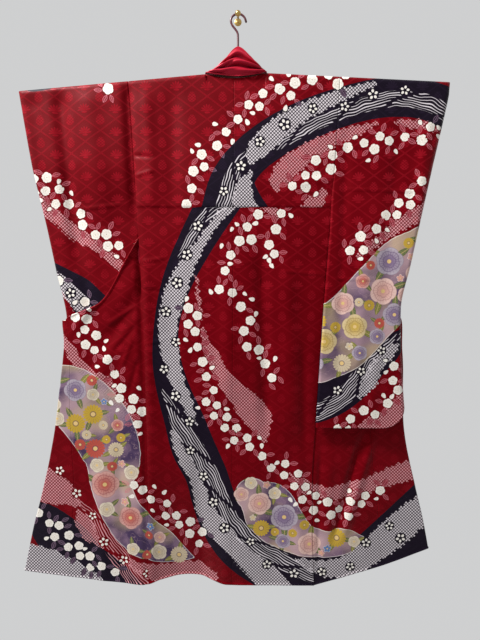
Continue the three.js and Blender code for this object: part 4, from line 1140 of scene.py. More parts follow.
# %% Fields
class Field:
    """A number that varies over a surface: one output of a node."""

    def __init__(self, tree, socket):
        self.tree, self.socket = tree, socket

    def math(self, operation, *others):
        """The field after one operation of the Math node."""
        node = self.tree.nodes.new("ShaderNodeMath")
        node.operation = operation
        for socket, value in zip(node.inputs, (self, *others)):
            feed(self.tree, socket, value)
        return Field(self.tree, node.outputs[0])

    def __add__(self, other):
        return self.math("ADD", other)

    def __sub__(self, other):
        return self.math("SUBTRACT", other)

    def __mul__(self, other):
        return self.math("MULTIPLY", other)

    def __truediv__(self, other):
        return self.math("DIVIDE", other)

    def __rsub__(self, other):
        return (self * -1.0) + other

    def __abs__(self):
        return self.math("ABSOLUTE")

    __radd__, __rmul__ = __add__, __mul__

    def step(self, low, high):
        """0 at low and 1 at high, straight between; low may be the larger."""
        node = self.tree.nodes.new("ShaderNodeMapRange")
        feed(self.tree, node.inputs["Value"], self)
        node.inputs["From Min"].default_value = low
        node.inputs["From Max"].default_value = high
        return Field(self.tree, node.outputs["Result"])

    def either(self, other):
        """The larger of two fields: inside one shape or the other."""
        return self.math("MAXIMUM", other)

    def no(self):
        """1 where the field is 0: outside the shape."""
        return 1.0 - self

    def from_middle(self):
        """The distance to the nearest half, so from 0 to 0.5: a fold in every whole unit."""
        return abs(self.math("FRACT") - 0.5)


def feed(tree, socket, value):
    """A field is linked to the socket, and a number is set on it."""
    if isinstance(value, Field):
        tree.links.new(value.socket, socket)
    else:
        socket.default_value = value


def split(tree, vector):
    """The three numbers of a vector as fields."""
    node = tree.nodes.new("ShaderNodeSeparateXYZ")
    tree.links.new(vector, node.inputs[0])
    return [Field(tree, output) for output in node.outputs]


def attribute(tree, name):
    """What the cloth wall stored on the mesh under that name."""
    node = tree.nodes.new("ShaderNodeAttribute")
    node.attribute_name = name
    return node.outputs["Vector"]


def cloth_place(tree):
    """The cloth's own place in millimetres, and the socket in metres."""
    node = tree.nodes.new("ShaderNodeUVMap")
    node.uv_map = "cloth"
    x, y, _ = split(tree, node.outputs[0])
    return x * 1000.0, y * -1000.0, node.outputs[0]


def noise(tree, vector, scale, detail=2.0):
    """Noise from about 0 to 1; `scale` counts its bumps in a metre."""
    node = tree.nodes.new("ShaderNodeTexNoise")
    node.inputs["Scale"].default_value = scale
    node.inputs["Detail"].default_value = detail
    tree.links.new(vector, node.inputs["Vector"])
    return Field(tree, node.outputs["Factor" if "Factor" in node.outputs else "Fac"])


def blend_colour(tree, factor, a, b):
    """Colour a where the factor is 0 and b where it is 1; a and b are colours or sockets."""
    node = tree.nodes.new("ShaderNodeMix")
    node.data_type = "RGBA"
    feed(tree, node.inputs["Factor"], factor)
    for socket, value in ((node.inputs[6], a), (node.inputs[7], b)):
        if isinstance(value, tuple):
            socket.default_value = (*value, 1)
        else:
            tree.links.new(value, socket)
    return node.outputs[2]


def layered(tree, colour, *layers):
    """Lays the colour of each layer over what is below it, as far as its factor says."""
    for factor, top in layers:
        colour = blend_colour(tree, factor, colour, top)
    return colour


def new_material(name, roughness, **constants):
    """A material with constants set on its shader; _ in a name stands for a space."""
    material = bpy.data.materials.new(name)
    material.use_nodes = True
    tree = material.node_tree
    shader = tree.nodes["Principled BSDF"]
    shader.inputs["Roughness"].default_value = roughness
    for socket, value in constants.items():
        shader.inputs[socket.replace("_", " ")].default_value = value
    return material, tree, shader


def bump(tree, shader, height, distance):
    """Relief on the shading: a height of 1 stands `distance` metres high."""
    node = tree.nodes.new("ShaderNodeBump")
    node.inputs["Distance"].default_value = distance
    feed(tree, node.inputs["Height"], height)
    tree.links.new(node.outputs[0], shader.inputs["Normal"])


print("fields ready")

# %% [markdown]
# ## The dyed silk
# The ground is crepe with a woven figure: a net of rhombs, each with a small flower that shines
# a little more than the ground. Over it come the dark bands, the tied dots with the ragged edges
# that tying leaves, the combed streaks, the painted areas and last the motifs.

# %% Colours of the silk
RED, RED_DEEP = (0.124, 0.0010, 0.0036), (0.096, 0.0006, 0.0026)
# painted sheen: the woven figure's red is painted lighter where its floats catch the light
RED_FIGURE_SHEEN = (0.250, 0.0060, 0.0130)
# the dark bands' ink, and the painted sheen of the woven figure on it, also the dark outline of green leaves
INK, INK_SHEEN_AND_LEAF_OUTLINE = (0.0080, 0.0050, 0.0105), (0.016, 0.010, 0.021)
DOT_WHITE, DOT_PINK, STREAK_WHITE = (0.60, 0.54, 0.56), (0.54, 0.24, 0.26), (0.56, 0.51, 0.53)
WHITE, WHITE_VEIN = (0.70, 0.655, 0.60), (0.40, 0.35, 0.27)
LEAF_PINK = (0.46, 0.125, 0.155)
MAUVE, MAUVE_DEEP, MAUVE_PALE = (0.17, 0.105, 0.155), (0.050, 0.030, 0.070), (0.36, 0.235, 0.25)
TEA, GOLD = (0.33, 0.25, 0.12), (0.55, 0.38, 0.16)
print("the ground's red:", RED, "and the dark bands:", INK)

# %% [markdown]
# The net and its flowers are woven, not dyed. Their floats catch the light a little more than the
# ground, so they carry a painted sheen, strongest near the top; wear makes them fainter in places.


# %% The woven figure
def polar(x, y):
    """The distance from the middle and the angle, in radians."""
    return (x * x + y * y).math("SQRT"), y.math("ARCTAN2", x)


LATTICE_WIDE, LATTICE_HIGH = 92.0, 66.0


def woven_figure(x, y):
    """A net of double lines, in rhombs 92 by 66 mm. Columns of open fans and of closed buds
    take turns in them. From 0, ground, to 1, figure."""
    a, b = x / LATTICE_WIDE + y / LATTICE_HIGH, x / LATTICE_WIDE - y / LATTICE_HIGH
    in_a, in_b = a.math("FRACT") - 0.5, b.math("FRACT") - 0.5
    to_line = abs(in_a).either(abs(in_b))
    line = abs(to_line - 0.478).step(0.020, 0.010)
    right, up = (in_a + in_b) * (LATTICE_WIDE / 2), (in_b - in_a) * (LATTICE_HIGH / 2)
    fan_x, fan_y = right / 21.0, (up + 9.0) / 21.0
    reach, lean = polar(fan_x, fan_y)
    lobe = abs((lean * 6.5).math("SINE"))
    fan = (lobe * 0.42 + 0.56 - reach).step(0.0, 0.05) * fan_y.step(-0.08, 0.0) \
        * (1.0 - lobe.step(0.45, 0.12) * reach.step(0.2, 0.3) * 0.85)
    foot = (1.0 - polar(right / 9.0, (up + 13.5) / 3.0)[0]).step(0.0, 0.15)
    bud_reach, _ = polar(right / (12.5 - up * 0.22), (up + 1.0) / 16.0)
    scales = ((right * 0.62).math("COSINE") * (up * 0.75).math("COSINE")).step(-0.35, 0.15)
    bud = (1.0 - bud_reach).step(0.0, 0.08) * (scales * 0.8 + 0.2)
    column = ((a.math("FLOOR") + b.math("FLOOR")) * 0.5).math("FRACT").math("GREATER_THAN", 0.25)
    flower = fan.either(foot) * column + bud * column.no()
    return (line * 0.75).either(flower)


print("lattice:", LATTICE_WIDE, "by", LATTICE_HIGH, "mm")

# %% [markdown]
# Each tied dot is a pinch of silk bound with thread before dyeing, so it stays pale and puckered.
# Combed streaks are stitched lines, pulled up tight in the dye.

# %% Tied dots and combed streaks
DOT_PITCH, COMB_PITCH = 7.4, 7.6      # mm
DIAGONAL, GOLDEN = 0.7071, 0.618     # cos 45 degrees, and the part that spreads numbers evenly


def tied_dots(x, y):
    """Rows of small raised squares 7.4 mm apart on the bias, each with the dark prick of the
    thread. Gives the dots and a ragged offset for the area's edge in mm."""
    a, b = (x + y) * (DIAGONAL / DOT_PITCH), (x - y) * (DIAGONAL / DOT_PITCH)
    qa, qb = a.math("FRACT") - 0.5, b.math("FRACT") - 0.5
    square = abs(qa).either(abs(qb))
    prick = (qa * qa + qb * qb).math("SQRT").step(0.04, 0.12)
    dots = square.step(0.40, 0.28) * (prick * 0.6 + 0.4)
    tooth = (b.math("FLOOR") * GOLDEN).math("FRACT") * 9.0
    tooth = tooth + (a.math("FLOOR") * 0.5).math("FRACT") * 3.0
    return dots, tooth - 6.0


def combed(run, side, wobble, pitch):
    """Thin white lines along the path that swell and thin out, each with long gaps of its own."""
    lane = side / pitch + wobble * 3.0
    index = lane.math("FLOOR")
    phase = (index * GOLDEN).math("FRACT")
    swell = (run / 31.0 + phase * 40.0).math("SINE") * 0.05
    line = (lane.from_middle() + swell).step(0.18, 0.09)
    gap = (run / 170.0 + phase * 5.0).from_middle().step(0.05, 0.07)
    return line * gap


print("tied dots every", DOT_PITCH, "mm")

# %% [markdown]
# A flower's outline is a radius that swings with the angle. Each shape below is a number that is
# above 0 inside its outline, so that `step` can turn it into a crisp or a soft edge.


# %% Motifs as formulas
def is_kind(field, kind):
    """1 on the faces of that kind of motif, and 0 on the others."""
    return field.math("COMPARE", float(kind), 0.4)


def petals(r, turn, count, low, high):
    """Above 0 inside a flower with `count` petals: the radius of its edge, which swings between
    low and high with the angle, less the distance from the middle."""
    lobe = abs((turn * (count / 2)).math("SINE")).math("POWER", 0.6)
    return lobe * (high - low) + low - r


silk, tree, shader = new_material("dyed silk", 0.52, Specular_IOR_Level=0.4)
x, y, place = cloth_place(tree)
dark, grey, comb = split(tree, attribute(tree, "zones_dark"))
pink, streak, picture = split(tree, attribute(tree, "zones_red"))
run, side, _ = split(tree, attribute(tree, "combing"))
grain = noise(tree, place, 900, 2)
wander = noise(tree, place, 55, 3)
wobble = (wander - 0.5) * 5.0
mottle = noise(tree, place, 9, 3)
figure = woven_figure(x, y)
dots, tooth = tied_dots(x, y)

mx, my, kind = split(tree, attribute(tree, "motif"))
mr, mturn = polar(mx, my)
blossom, petal, leaf = (is_kind(kind, k) for k in (BLOSSOM, PETAL, LEAF))
five, rosette, daisy, bell = (is_kind(kind, k) for k in (FIVE_DOTS, ROSETTE, DAISY, BELL))
flower_edge = petals(mr, mturn, 5, 0.84, 1.0)
petal_edge = 1.0 - polar(mx / (0.66 - my * 0.22), my)[0]
leaf_edge = (1.0 - my * my) * 0.50 - abs(mx)
turn5 = ((mturn / (2 * math.pi / 5)).math("FRACT") - 0.5) * (2 * math.pi / 5)
dot_x, dot_y = mr * turn5.math("COSINE") - 0.62, mr * turn5.math("SINE")
dot_edge = 1.0 - polar(dot_x / 0.31, dot_y / 0.25)[0]
halo = (blossom * (flower_edge + 0.24).step(0.0, 0.03)).either(petal * (petal_edge + 0.38).step(0.0, 0.05)) \
    .either(leaf * (leaf_edge + 0.12).step(0.0, 0.03)).either(five * (1.12 - mr).step(0.0, 0.05))
clear = halo.no()
print("silk: motif outlines", len(tree.nodes), "nodes")

# %% [markdown]
# The grounds go on in the order of the dyer's work: the red and the dark bands, then what stayed
# pale where it was tied or stitched, then the painted areas with their pale outline.

# %% The silk's grounds
# painted sheen: the figure's lighter colour is full down to 250 mm and falls to 0.4 by 900 mm, where less
# light falls
figure_sheen_by_height = y.step(900.0, 250.0) * 0.6 + 0.4
red = blend_colour(tree, mottle.step(0.30, 0.72), RED_DEEP, RED)
figure_sheen_and_wear = figure * figure_sheen_by_height * (wander * 0.9 + 0.15)
red = blend_colour(tree, figure_sheen_and_wear, red, RED_FIGURE_SHEEN)
# painted sheen of the figure on the dark bands, weaker lower down
ink = blend_colour(tree, figure * figure_sheen_by_height * 0.6, INK, INK_SHEEN_AND_LEAF_OUTLINE)
in_dark = (dark + wobble * 0.35).step(0.5, -0.5)
in_picture = (picture + wobble * 0.5).step(0.4, -0.4)
in_grey = (grey + tooth + wobble).step(0.3, -0.3) * clear
in_pink = (pink + tooth + wobble).step(0.3, -0.3) * clear
in_comb = (comb + wobble).step(0.6, -0.6) * clear
in_streak = (streak + wobble).step(0.6, -0.6) * clear
lines = combed(run, side, noise(tree, place, 16, 1), COMB_PITCH)
grey_dots, pink_dots = in_grey * dots, in_pink * dots
white_lines, pink_lines = in_comb * lines, in_streak * lines

mist = noise(tree, place, 14, 4)
cloud = noise(tree, place, 5, 2)
swirl = (mist * 9.0 + cloud * 6.0).from_middle().step(0.05, 0.02)
tea_stain = noise(tree, place, 7.5, 1).step(0.52, 0.66)
painted = layered(tree, blend_colour(tree, mist.step(0.42, 0.62), MAUVE_DEEP, MAUVE),
                  (cloud.step(0.42, 0.60), MAUVE_PALE), (swirl * 0.35, MAUVE_PALE), (tea_stain * 0.55, TEA))
rim_line = abs(picture + wobble * 0.5 + 1.6).step(1.0, 0.5)
colour = layered(tree, red, (in_dark, ink), (pink_dots, DOT_PINK), (grey_dots, DOT_WHITE),
                 (white_lines, STREAK_WHITE), (pink_lines, DOT_PINK), (in_picture, painted),
                 (rim_line * 0.7, WHITE))
print("silk: grounds", len(tree.nodes), "nodes")

# %% [markdown]
# Blossoms and leaves lie on top. A blossom has rays and a ring of stamens, a leaf its veins.

# %% The silk's blossoms and leaves
lx, ly, low_kind = split(tree, attribute(tree, "greenery"))
green_edge = (1.0 - lx * lx) * 0.36 - abs(ly)
green = is_kind(low_kind, GREEN_LEAF) * green_edge.step(0.0, 0.03) * in_picture
side_veins = (lx * 3.2 + abs(ly) * 3.0).from_middle().step(0.09, 0.03)
vein = abs(ly).step(0.05, 0.02).either(side_veins * 0.6)
colour = layered(tree, colour, (green, attribute(tree, "greenery_tint")), (green * vein * 0.55, GOLD),
                 (green * green_edge.step(0.07, 0.02) * 0.6, INK_SHEEN_AND_LEAF_OUTLINE))

leaf_in = leaf * leaf_edge.step(0.0, 0.03)
hatch = (abs(mx) * 2.2 - my * 2.6).from_middle().step(0.30, 0.18)
leaf_lines = leaf_edge.step(0.14, 0.07).either(abs(mx).step(0.07, 0.03)).either(hatch * 0.4)
leaf_colour = blend_colour(tree, in_dark, LEAF_PINK, MAUVE)
rays = (mturn * 15.0).math("COSINE").step(0.2, 0.9) * mr.step(0.22, 0.3) * mr.step(0.75, 0.6)
heart = mr.step(0.16, 0.10)
white_in = (blossom * flower_edge.step(0.0, 0.03)).either(petal * petal_edge.step(0.0, 0.05)) \
    .either(five * dot_edge.step(0.0, 0.08))
ring = abs(mr - 0.52).step(0.10, 0.02) * (mturn * 11.0).math("SINE").step(0.0, 0.8)
stamens = blossom * (rays * 0.7).either(heart * 0.9).either(ring * 0.6)
puckers = white_in * noise(tree, place, 240, 1).step(0.50, 0.66) * 0.5
colour = layered(tree, colour, (leaf_in * leaf_lines * 0.95, leaf_colour), (white_in, WHITE),
                 (stamens.either(puckers), WHITE_VEIN))
print("silk: blossoms", len(tree.nodes), "nodes")

# %% [markdown]
# The painted flowers come last: rosettes with three rounds of petals, daisies and bells. Then the
# gloss and the relief follow from the same fields as the colours.

# %% The painted flowers and the finished silk
tint = attribute(tree, "motif_tint")
layer1 = petals(mr, mturn, 5, 0.86, 1.0)
layer2 = petals(mr, mturn + 0.63, 5, 0.60, 0.72)
layer3 = petals(mr, mturn, 5, 0.34, 0.46)
rose_in = rosette * layer1.step(0.0, 0.02)
rose_line = abs(layer2).step(0.05, 0.0).either(abs(layer3).step(0.05, 0.0)) \
    .either(layer1.step(0.06, 0.0))
rose_shade = mr.step(0.1, 0.95)
rose_veins = (mturn * 22.0).math("COSINE").step(0.2, 0.9) * mr.step(0.18, 0.4) * mr.step(1.0, 0.55)
colour = layered(tree, colour, (rose_in, tint), (rose_in * rose_shade * 0.35, WHITE),
                 (rose_in * rose_line * 0.75, blend_colour(tree, 0.5, tint, MAUVE_DEEP)),
                 (rose_in * rose_veins * 0.45, blend_colour(tree, 0.35, tint, MAUVE_DEEP)),
                 (rosette * mr.step(0.17, 0.12), GOLD))
daisy_edge = petals(mr, mturn, 18, 0.80, 1.0)
daisy_in = daisy * daisy_edge.step(0.0, 0.03)
daisy_line = abs((mturn * 9.0).math("SINE")).step(0.25, 0.05) * mr.step(0.3, 0.5)
daisy_dark = (daisy_line * 0.5).either(mr.step(0.34, 0.28) * 0.7)
colour = layered(tree, colour, (daisy_in, tint), (daisy_in * daisy_dark, MAUVE_DEEP),
                 (daisy * mr.step(0.24, 0.2), GOLD))
bell_edge = petals(mr, mturn, 5, 0.55, 1.0)
bell_in = bell * bell_edge.step(0.0, 0.04)
colour = layered(tree, colour, (bell_in, tint), (bell_in * bell_edge.step(0.16, 0.04) * 0.7, WHITE),
                 (bell * mr.step(0.22, 0.16), GOLD))
tree.links.new(colour, shader.inputs["Base Color"])
tree.links.new(colour, shader.inputs["Specular Tint"])
shine = 0.52 - figure * 0.14 + white_in * 0.2 + (mottle - 0.5) * 0.08
feed(tree, shader.inputs["Roughness"], shine)
height = figure * 0.25 + (grey_dots + pink_dots) * 1.2 + white_in * 0.8 + grain * 0.45 + white_lines * 0.6
bump(tree, shader, height, 0.00035)
print("dyed silk:", len(tree.nodes), "nodes")

# %% [markdown]
# ## Lining, satin, plastic and brass
# The body is lined with ivory silk and, from the knee down, with red. The collar is plain satin.

# %% Other materials
IVORY, LINING_RED = (0.72, 0.66, 0.55), (0.36, 0.012, 0.02)
LINING_CHANGE = (1048.0, 1050.0)     # mm below the neck, where the red half begins
SATIN_DEEP, SATIN, SATIN_GLINT = (0.24, 0.004, 0.014), (0.36, 0.012, 0.03), (0.9, 0.10, 0.14, 1)
lining, tree, shader = new_material("lining silk", 0.5)
_, _, down = split(tree, attribute(tree, "combing"))
weave = noise(tree, cloth_place(tree)[2], 700, 2)
tree.links.new(blend_colour(tree, down.step(*LINING_CHANGE), IVORY, LINING_RED), shader.inputs["Base Color"])
bump(tree, shader, weave, 0.0001)

satin, tree, shader = new_material("red satin", 0.36, Specular_IOR_Level=0.8,
                                   Specular_Tint=SATIN_GLINT)
place = cloth_place(tree)[2]
sheen = noise(tree, place, 16, 3)
tree.links.new(blend_colour(tree, sheen.step(0.3, 0.75), SATIN_DEEP, SATIN), shader.inputs["Base Color"])
bump(tree, shader, noise(tree, place, 1100, 2), 0.0001)

PATCH_SHADE = 0.86


def plain(name, colour, roughness, metallic=0.0, wear=0.06):
    """A solid colour whose gloss varies a little with handling; grain in Object coordinates."""
    material, tree, shader = new_material(name, roughness, Metallic=metallic)
    where = tree.nodes.new("ShaderNodeTexCoord").outputs["Object"]
    patches = noise(tree, where, 40, 4)
    shade = tuple(PATCH_SHADE * c for c in colour)
    tree.links.new(blend_colour(tree, patches.step(0.3, 0.7), shade, colour), shader.inputs["Base Color"])
    feed(tree, shader.inputs["Roughness"], patches * (2 * wear) + (roughness - wear))
    bump(tree, shader, noise(tree, where, 900, 2), 0.00004)
    return material


bar_plastic = plain("bar plastic", (0.060, 0.028, 0.018), 0.45)
hook_wire = plain("coated wire", (0.085, 0.020, 0.026), 0.34)
brass = plain("brass", (0.56, 0.37, 0.12), 0.30, 1.0, 0.1)
print("materials:", [m.name for m in bpy.data.materials])

# %% [markdown]
# ## Sewing the body
# Two widths of silk make the back. Each runs over the hanger's arm at the top; the curve of the
# neck is the only part that is cut out. At waist height a tuck takes the cloth up, so the figured
# ground jumps sideways there: what is above has been moved across what is below.

# %% Back panels
CELL, HIDDEN_CELL = 5.0, 8.0
ROW_GAP = 1.5                        # mm
TUCK_HALF = 1.3                      # rows this far above and below the tuck keep its edge crisp
NECK_HALF = 0.05                     # and columns this far from the neck's end keep its step
FOLD_STEPS = 6                       # rows of the quarter circle over the arm
SHIFT_FROM, SHIFT_TO = 40, 1000      # mm down the cloth: between these the rows make way for it
FOLD_CLOSE = (0.8, 2.0, 3.2, 4.4, 5.6, 6.6)   # mm from the hem: rows that carry its roll
SILK, SATINS = [silk, lining], [satin, satin]
pieces = {}


def with_rows_at(rows, *close):
    """Rows of a grid with some places kept exactly, and no other row near to them."""
    kept = rows[np.all(np.abs(rows[:, None] - np.array(close)) > ROW_GAP, axis=1)]
    return np.sort(np.concatenate([kept, close]))


def with_tuck_row(form):
    """The same form, with its rows shifted so that one of them runs along the tuck."""
    def shifted(u, s):
        at = np.full_like(s, TUCK_DROP)
        for _ in range(2):
            at = at + TUCK_DROP - form(u, at)[1]
        share = np.interp(s, [SHIFT_FROM, TUCK_DROP, SHIFT_TO], [0, 1, 0])
        return form(u, s + (at - TUCK_DROP) * share)

    return shifted


def fold_rows(length, cell):
    """Rows down a length that starts with a quarter circle over the hanger's arm."""
    hanging = stations(length - QUARTER, cell, FOLD_CLOSE) + QUARTER
    over = np.linspace(0, QUARTER, FOLD_STEPS + 1)[:-1]
    return np.concatenate([over, hanging[hanging > QUARTER + ROW_GAP]])


for hand in ("left", "right"):
    width = abs(BACK_SIDE[hand]["x"][0] - CENTRE_TOP)
    neck_edge = abs(NECK[hand] - CENTRE_TOP) - 1
    us = with_rows_at(stations(width, CELL), neck_edge - NECK_HALF, neck_edge + NECK_HALF) / width
    vs = with_rows_at(fold_rows(BODY_LENGTH, CELL), TUCK_DROP - TUCK_HALF, TUCK_DROP + TUCK_HALF)
    pieces[f"back_{hand}"] = cloth_wall(f"{hand}_back_panel", "back", with_tuck_row(back_form(hand)),
                                        us, vs, SILK, hem=True)
print("back:", [len(p.data.polygons) for p in pieces.values()])

# %% [markdown]
# The front panels carry on over the shoulder, so each could be cut in one with the back. Their
# rulings are not level, so the rows are spaced by whichever edge moves faster.


# %% Front and overlap panels
FINE_STEPS = 2400                    # of a form's length, measured out before it is shared


def ruling_rows(form, first, last, cell, ends=()):
    """Rows between two rulings that are `cell` mm apart where they are farthest apart. Near the
    last one they come as close as `ends` says, for the rolled hem."""
    fine = np.linspace(first, last, FINE_STEPS)
    steps = [np.linalg.norm(np.diff(np.stack(form(np.full_like(fine, u), fine)[:3]), axis=1), axis=0)
             for u in (0.0, 0.5, 1.0)]
    run = np.concatenate([[0], np.cumsum(np.max(steps, axis=0))])
    places = stations(run[-1], cell)
    if ends:
        hem_run = np.concatenate([[0], np.cumsum(steps[1])])
        places = places[places < np.interp(hem_run[-1] - ends[0], hem_run, run)]
        places = np.concatenate([places, np.interp(hem_run[-1] - np.array(ends), hem_run, run)])
    return np.interp(places, run, fine)


def rolled_columns(first, flat, bend, back):
    """Columns of a panel that rolls back: so many on its flat part, its bend and its return."""
    return np.concatenate([np.linspace(first, FLAT_SHARE, flat)[:-1],
                           np.linspace(FLAT_SHARE, BEND_SHARE, bend)[:-1],
                           np.linspace(BEND_SHARE, 1, back)])


HEM_ENDS = (7.0, 6.2, 5.2, 4.2, 3.2, 2.2, 1.2, 0.5, 0.0)
okumi_columns = np.sort(np.append(rolled_columns(0, 30, 10, 14), [0.004, 0.012, 0.99]))
FRONT_WIDTH = 240
ROLL_COLUMNS = (232.5, 235, 236.5)   # mm across: these carry the rolled edge on the collar line
front_columns = with_rows_at(stations(FRONT_WIDTH, CELL), *ROLL_COLUMNS) / FRONT_WIDTH
for hand in ("left", "right"):
    form = front_form(hand)
    hanging = ruling_rows(form, 0, 1, CELL, HEM_ENDS)
    vs = np.concatenate([np.linspace(-1, 0, FOLD_STEPS + 1)[:-1], hanging])
    pieces[f"front_{hand}"] = cloth_wall(f"{hand}_front_panel", f"{hand} front", form,
                                         front_columns, vs, SILK, under=("first",), hem=True,
                                         rolled_until=OKUMI_FIRST)
    form = okumi_form(hand)
    pieces[f"okumi_{hand}"] = cloth_wall(f"{hand}_overlap_panel", f"{hand} front", form, okumi_columns,
                                         ruling_rows(form, 0, 1, CELL, HEM_ENDS), SILK, hem=True)
print("fronts:", {name: len(p.data.polygons) for name, p in pieces.items() if "back" not in name})

# %% [markdown]
# ## Sleeves
# A furisode's sleeve is a tall bag, more than a metre deep, sewn to the body for its upper third
# only. Its outer edge curls back here, because the bag hangs free and the silk is heavy.

# %% Sleeve layers
FLAT_SLEEVE = 290                    # mm of a sleeve's width that lies about flat
for hand in ("left", "right"):
    for layer in ("back", "front"):
        cell = CELL if layer == "back" else HIDDEN_CELL
        us = np.append([0, 0.003, 0.008], rolled_columns(0.016, int(FLAT_SLEEVE / cell), 13, 14))
        pieces[f"sleeve_{hand}_{layer}"] = cloth_wall(
            f"{hand}_sleeve_{layer}_layer", f"{hand} sleeve", sleeve_form(hand, layer), us,
            fold_rows(SLEEVE_LENGTH, cell), SILK, outward=-1 if layer == "back" else 1,
            under=("first",))
print("sleeves:", {name: len(p.data.polygons) for name, p in pieces.items() if "sleeve" in name})

# %% [markdown]
# ## Collar
# The collar is one long band, folded lengthwise. Pulled up behind the neck it stands as a tent of
# soft curved folds over the hanger's hook. Along the fronts it lies on the wall side.

# %% Collar pieces
NECK_LENGTH, NECK_CELL, TENT_HEIGHT, TENT_CELL = 270, 3.2, 90, 2.4
pieces["collar_back"] = cloth_wall("collar_behind_neck", "collar", collar_back_form,
                                   stations(NECK_LENGTH, NECK_CELL) / NECK_LENGTH,
                                   stations(TENT_HEIGHT, TENT_CELL) / TENT_HEIGHT, SATINS,
                                   thickness=COLLAR_CLOTH, creased=False)
for hand in ("left", "right"):
    form = collar_band_form(hand)
    pieces[f"collar_{hand}"] = cloth_wall(f"{hand}_collar_band", "collar", form,
                                          stations(COLLAR_WIDTH, CELL) / COLLAR_WIDTH,
                                          ruling_rows(form, 0, 1, CELL), SATINS, outward=1,
                                          thickness=COLLAR_CLOTH, creased=False)
print("collar:", {name: len(p.data.polygons) for name, p in pieces.items() if "collar" in name})

# %% [markdown]
# ## Hanger hook and wall hook
# The hook is one bent wire. The wall hook is turned brass: a plate, a thin stem and a ball.

# %% Bent wire and turned brass
WIRE_RADIUS, HOOK_FOOT = 3.2, -176.45
# x and height in mm, from the open tip over the wall hook and down into the collar
HOOK_PATH = [(24, -15), (20, -4), (11, 4.5), (0, 7), (-11, 4), (-19, -4), (-21, -14), (-17, -25), (-9, -35),
             (-2, -45), (0, -58), (0, -100), (0, HOOK_FOOT)]
PLATE = {"radius": 11, "thick": 3, "stem": 3, "ball": 8.5, "ball_out": 52}
SEGMENTS = 48


def closed_rings(name, rings, material):
    """Rings of points joined by quads, with the first and last ring filled by flat strips."""
    count, around = rings.shape[:2]
    start = (np.arange(count - 1)[:, None] * around + np.arange(around)).ravel()
    after = (np.arange(count - 1)[:, None] * around + (np.arange(around) + 1) % around).ravel()
    side = np.stack([start, after, after + around, start + around], axis=1)
    k = np.arange(around // 2 - 1)
    cap = np.stack([k, around - 1 - k, around - 2 - k, k + 1], axis=1)
    faces = np.concatenate([side, cap, cap[:, ::-1] + (count - 1) * around])
    return build_mesh(name, rings.reshape(-1, 3) * MM, faces, [material], np.zeros(len(faces)))


def bent_wire(name, path, radius, material):
    """A circle carried along a path in the plane of the wall, with a half-round tip."""
    chain = smooth_path([(x, z, 0) for x, z in path])[:, :2]
    tangent = np.gradient(chain, axis=0)
    tangent /= np.linalg.norm(tangent, axis=1, keepdims=True)
    lean = np.radians([80, 55, 30])
    tip = chain[0] - tangent[0] * radius * np.sin(lean)[:, None]
    chain, tangent = np.vstack([tip, chain]), np.vstack([np.repeat(tangent[:1], 3, axis=0), tangent])
    widths = np.concatenate([radius * np.cos(lean), np.full(len(chain) - 3, radius)])[:, None]
    turn = np.linspace(0, 2 * np.pi, SEGMENTS, endpoint=False)
    x = chain[:, :1] + widths * tangent[:, 1:] * np.cos(turn)
    z = chain[:, 1:] - widths * tangent[:, :1] * np.cos(turn)
    y = -ROD_OUT + widths * np.sin(turn)
    return closed_rings(name, np.stack([x, y, z], axis=2), material)


pieces["hanger_hook"] = bent_wire("bent_wire_hook", HOOK_PATH, WIRE_RADIUS, hook_wire)
neck_angle = math.acos(PLATE["stem"] / PLATE["ball"])
angles = np.linspace(neck_angle, -math.pi / 2, 20)[:-1]
flange = [(PLATE["radius"], 0), (PLATE["radius"], -1.8), (PLATE["radius"] - 0.6, -2.4),
          (PLATE["radius"] - 2, -PLATE["thick"]), (PLATE["stem"] + 1.2, -PLATE["thick"] - 0.2),
          (PLATE["stem"], -PLATE["thick"] - 1.0)]
ball = [(math.cos(a) * PLATE["ball"], math.sin(a) * PLATE["ball"] - PLATE["ball_out"]) for a in angles]
profile = np.array(flange + ball)
turn = np.linspace(0, 2 * np.pi, SEGMENTS, endpoint=False)
rings = np.stack([profile[:, :1] * np.cos(turn), np.repeat(profile[:, 1:], SEGMENTS, axis=1),
                  profile[:, :1] * np.sin(turn)], axis=2)
pieces["wall_hook"] = closed_rings("brass_wall_hook", rings, brass)
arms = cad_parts["hanger_arms"]
arms.data.materials.clear()
arms.data.materials.append(bar_plastic)
print("hardware:", [len(pieces[n].data.polygons) for n in ("hanger_hook", "wall_hook")])

# %% [markdown]
# ## Which piece stands for which solid
# Each cloth piece replaces one solid of the frame. The cut sizes are those of the flat panels,
# with the cloth over the hanger's arm and in the rolled edges counted in.

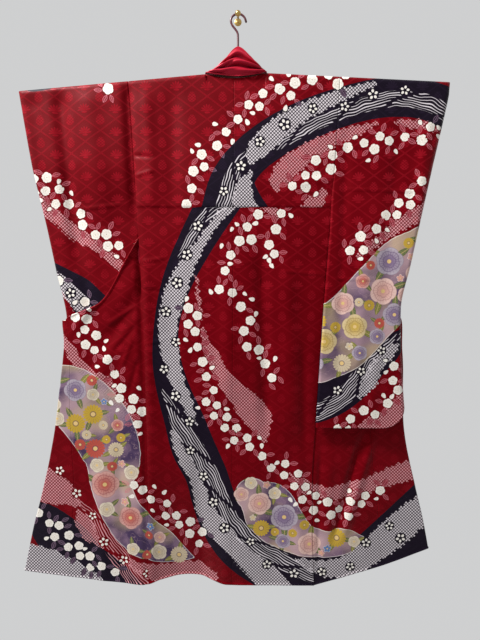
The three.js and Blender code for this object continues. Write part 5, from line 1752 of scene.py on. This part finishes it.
# %% Pieces and the frame
FLAT = {
    # piece: flat width and length in metres, flat area in square metres
    "back": (0.317, 1.620, 0.500), "front": (0.252, 1.637, 0.350), "okumi": (0.155, 0.880, 0.120),
    "sleeve_back": (0.333, 1.090, 0.362), "sleeve_front": (0.315, 1.090, 0.343),
    "collar_back": (0.250, 0.090, 0.0175), "collar": (0.055, 0.800, 0.044),
}
for node, piece in pieces.items():
    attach(piece, "root")
    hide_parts(node)
    kind = node.replace("_left", "").replace("_right", "")
    if kind in FLAT:
        width, length, area = FLAT[kind]
        measured = sum(p.area for p in piece.data.polygons) / 2
        print(f"{node}: {measured:.3f} m2 of cloth, cut {area:.3f} m2")
print(len(pieces), "pieces,", sum(2 * len(p.data.polygons) for p in pieces.values()), "triangles")

# %% [markdown]
# ## Light
# A small lamp high on the left rakes down over the cloth, so that folds and press marks cast soft
# shadows and the shoulders are brightest. The pale sky does the rest.

# %% Floor, lamp and sky
SIDE, FRONT_EDGE, BACK_EDGE, FLOOR_HEIGHT = 3, -3.5, 0.28, -2.3
LAMP_PLACE, LAMP_AIM, LAMP_SIZE, LAMP_POWER = (-1.75, -1.0, 1.6), (-0.05, 0, -0.75), 0.5, 215
SKY, SKY_STRENGTH, FLOOR_GREY = (0.69, 0.695, 0.70, 1), 0.9, (0.42, 0.43, 0.44, 1)
floor = bpy.data.objects.new("floor", bpy.data.meshes.new("floor"))
corners = [(-SIDE, FRONT_EDGE), (SIDE, FRONT_EDGE), (SIDE, BACK_EDGE), (-SIDE, BACK_EDGE)]
floor.data.from_pydata([(x, y, FLOOR_HEIGHT) for x, y in corners], [], [(0, 1, 2, 3)])
floor_paint, _, _ = new_material("pale floor", 0.9, Base_Color=FLOOR_GREY, Specular_IOR_Level=0.1)
floor.data.materials.append(floor_paint)
bpy.context.scene.collection.objects.link(floor)
floor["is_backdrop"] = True

lamp = bpy.data.objects.new("key", bpy.data.lights.new("key", "AREA"))
bpy.context.scene.collection.objects.link(lamp)
lamp.location = LAMP_PLACE
lamp.rotation_euler = (Vector(LAMP_AIM) - Vector(LAMP_PLACE)).to_track_quat("-Z", "Y").to_euler()
lamp.data.size, lamp.data.energy = LAMP_SIZE, LAMP_POWER
world = bpy.data.worlds.new("sky")
world.use_nodes = True
world.node_tree.nodes["Background"].inputs["Color"].default_value = SKY
world.node_tree.nodes["Background"].inputs["Strength"].default_value = SKY_STRENGTH
bpy.context.scene.world = world
bpy.context.scene.view_settings.view_transform = "Standard"
print("lamp of", LAMP_POWER, "W and sky ready")

# %% [markdown]
# The box of all that was built is printed.

# %% The box of what was built
low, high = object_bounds()
print("visual:", [round(v, 3) for v in high - low], "m")
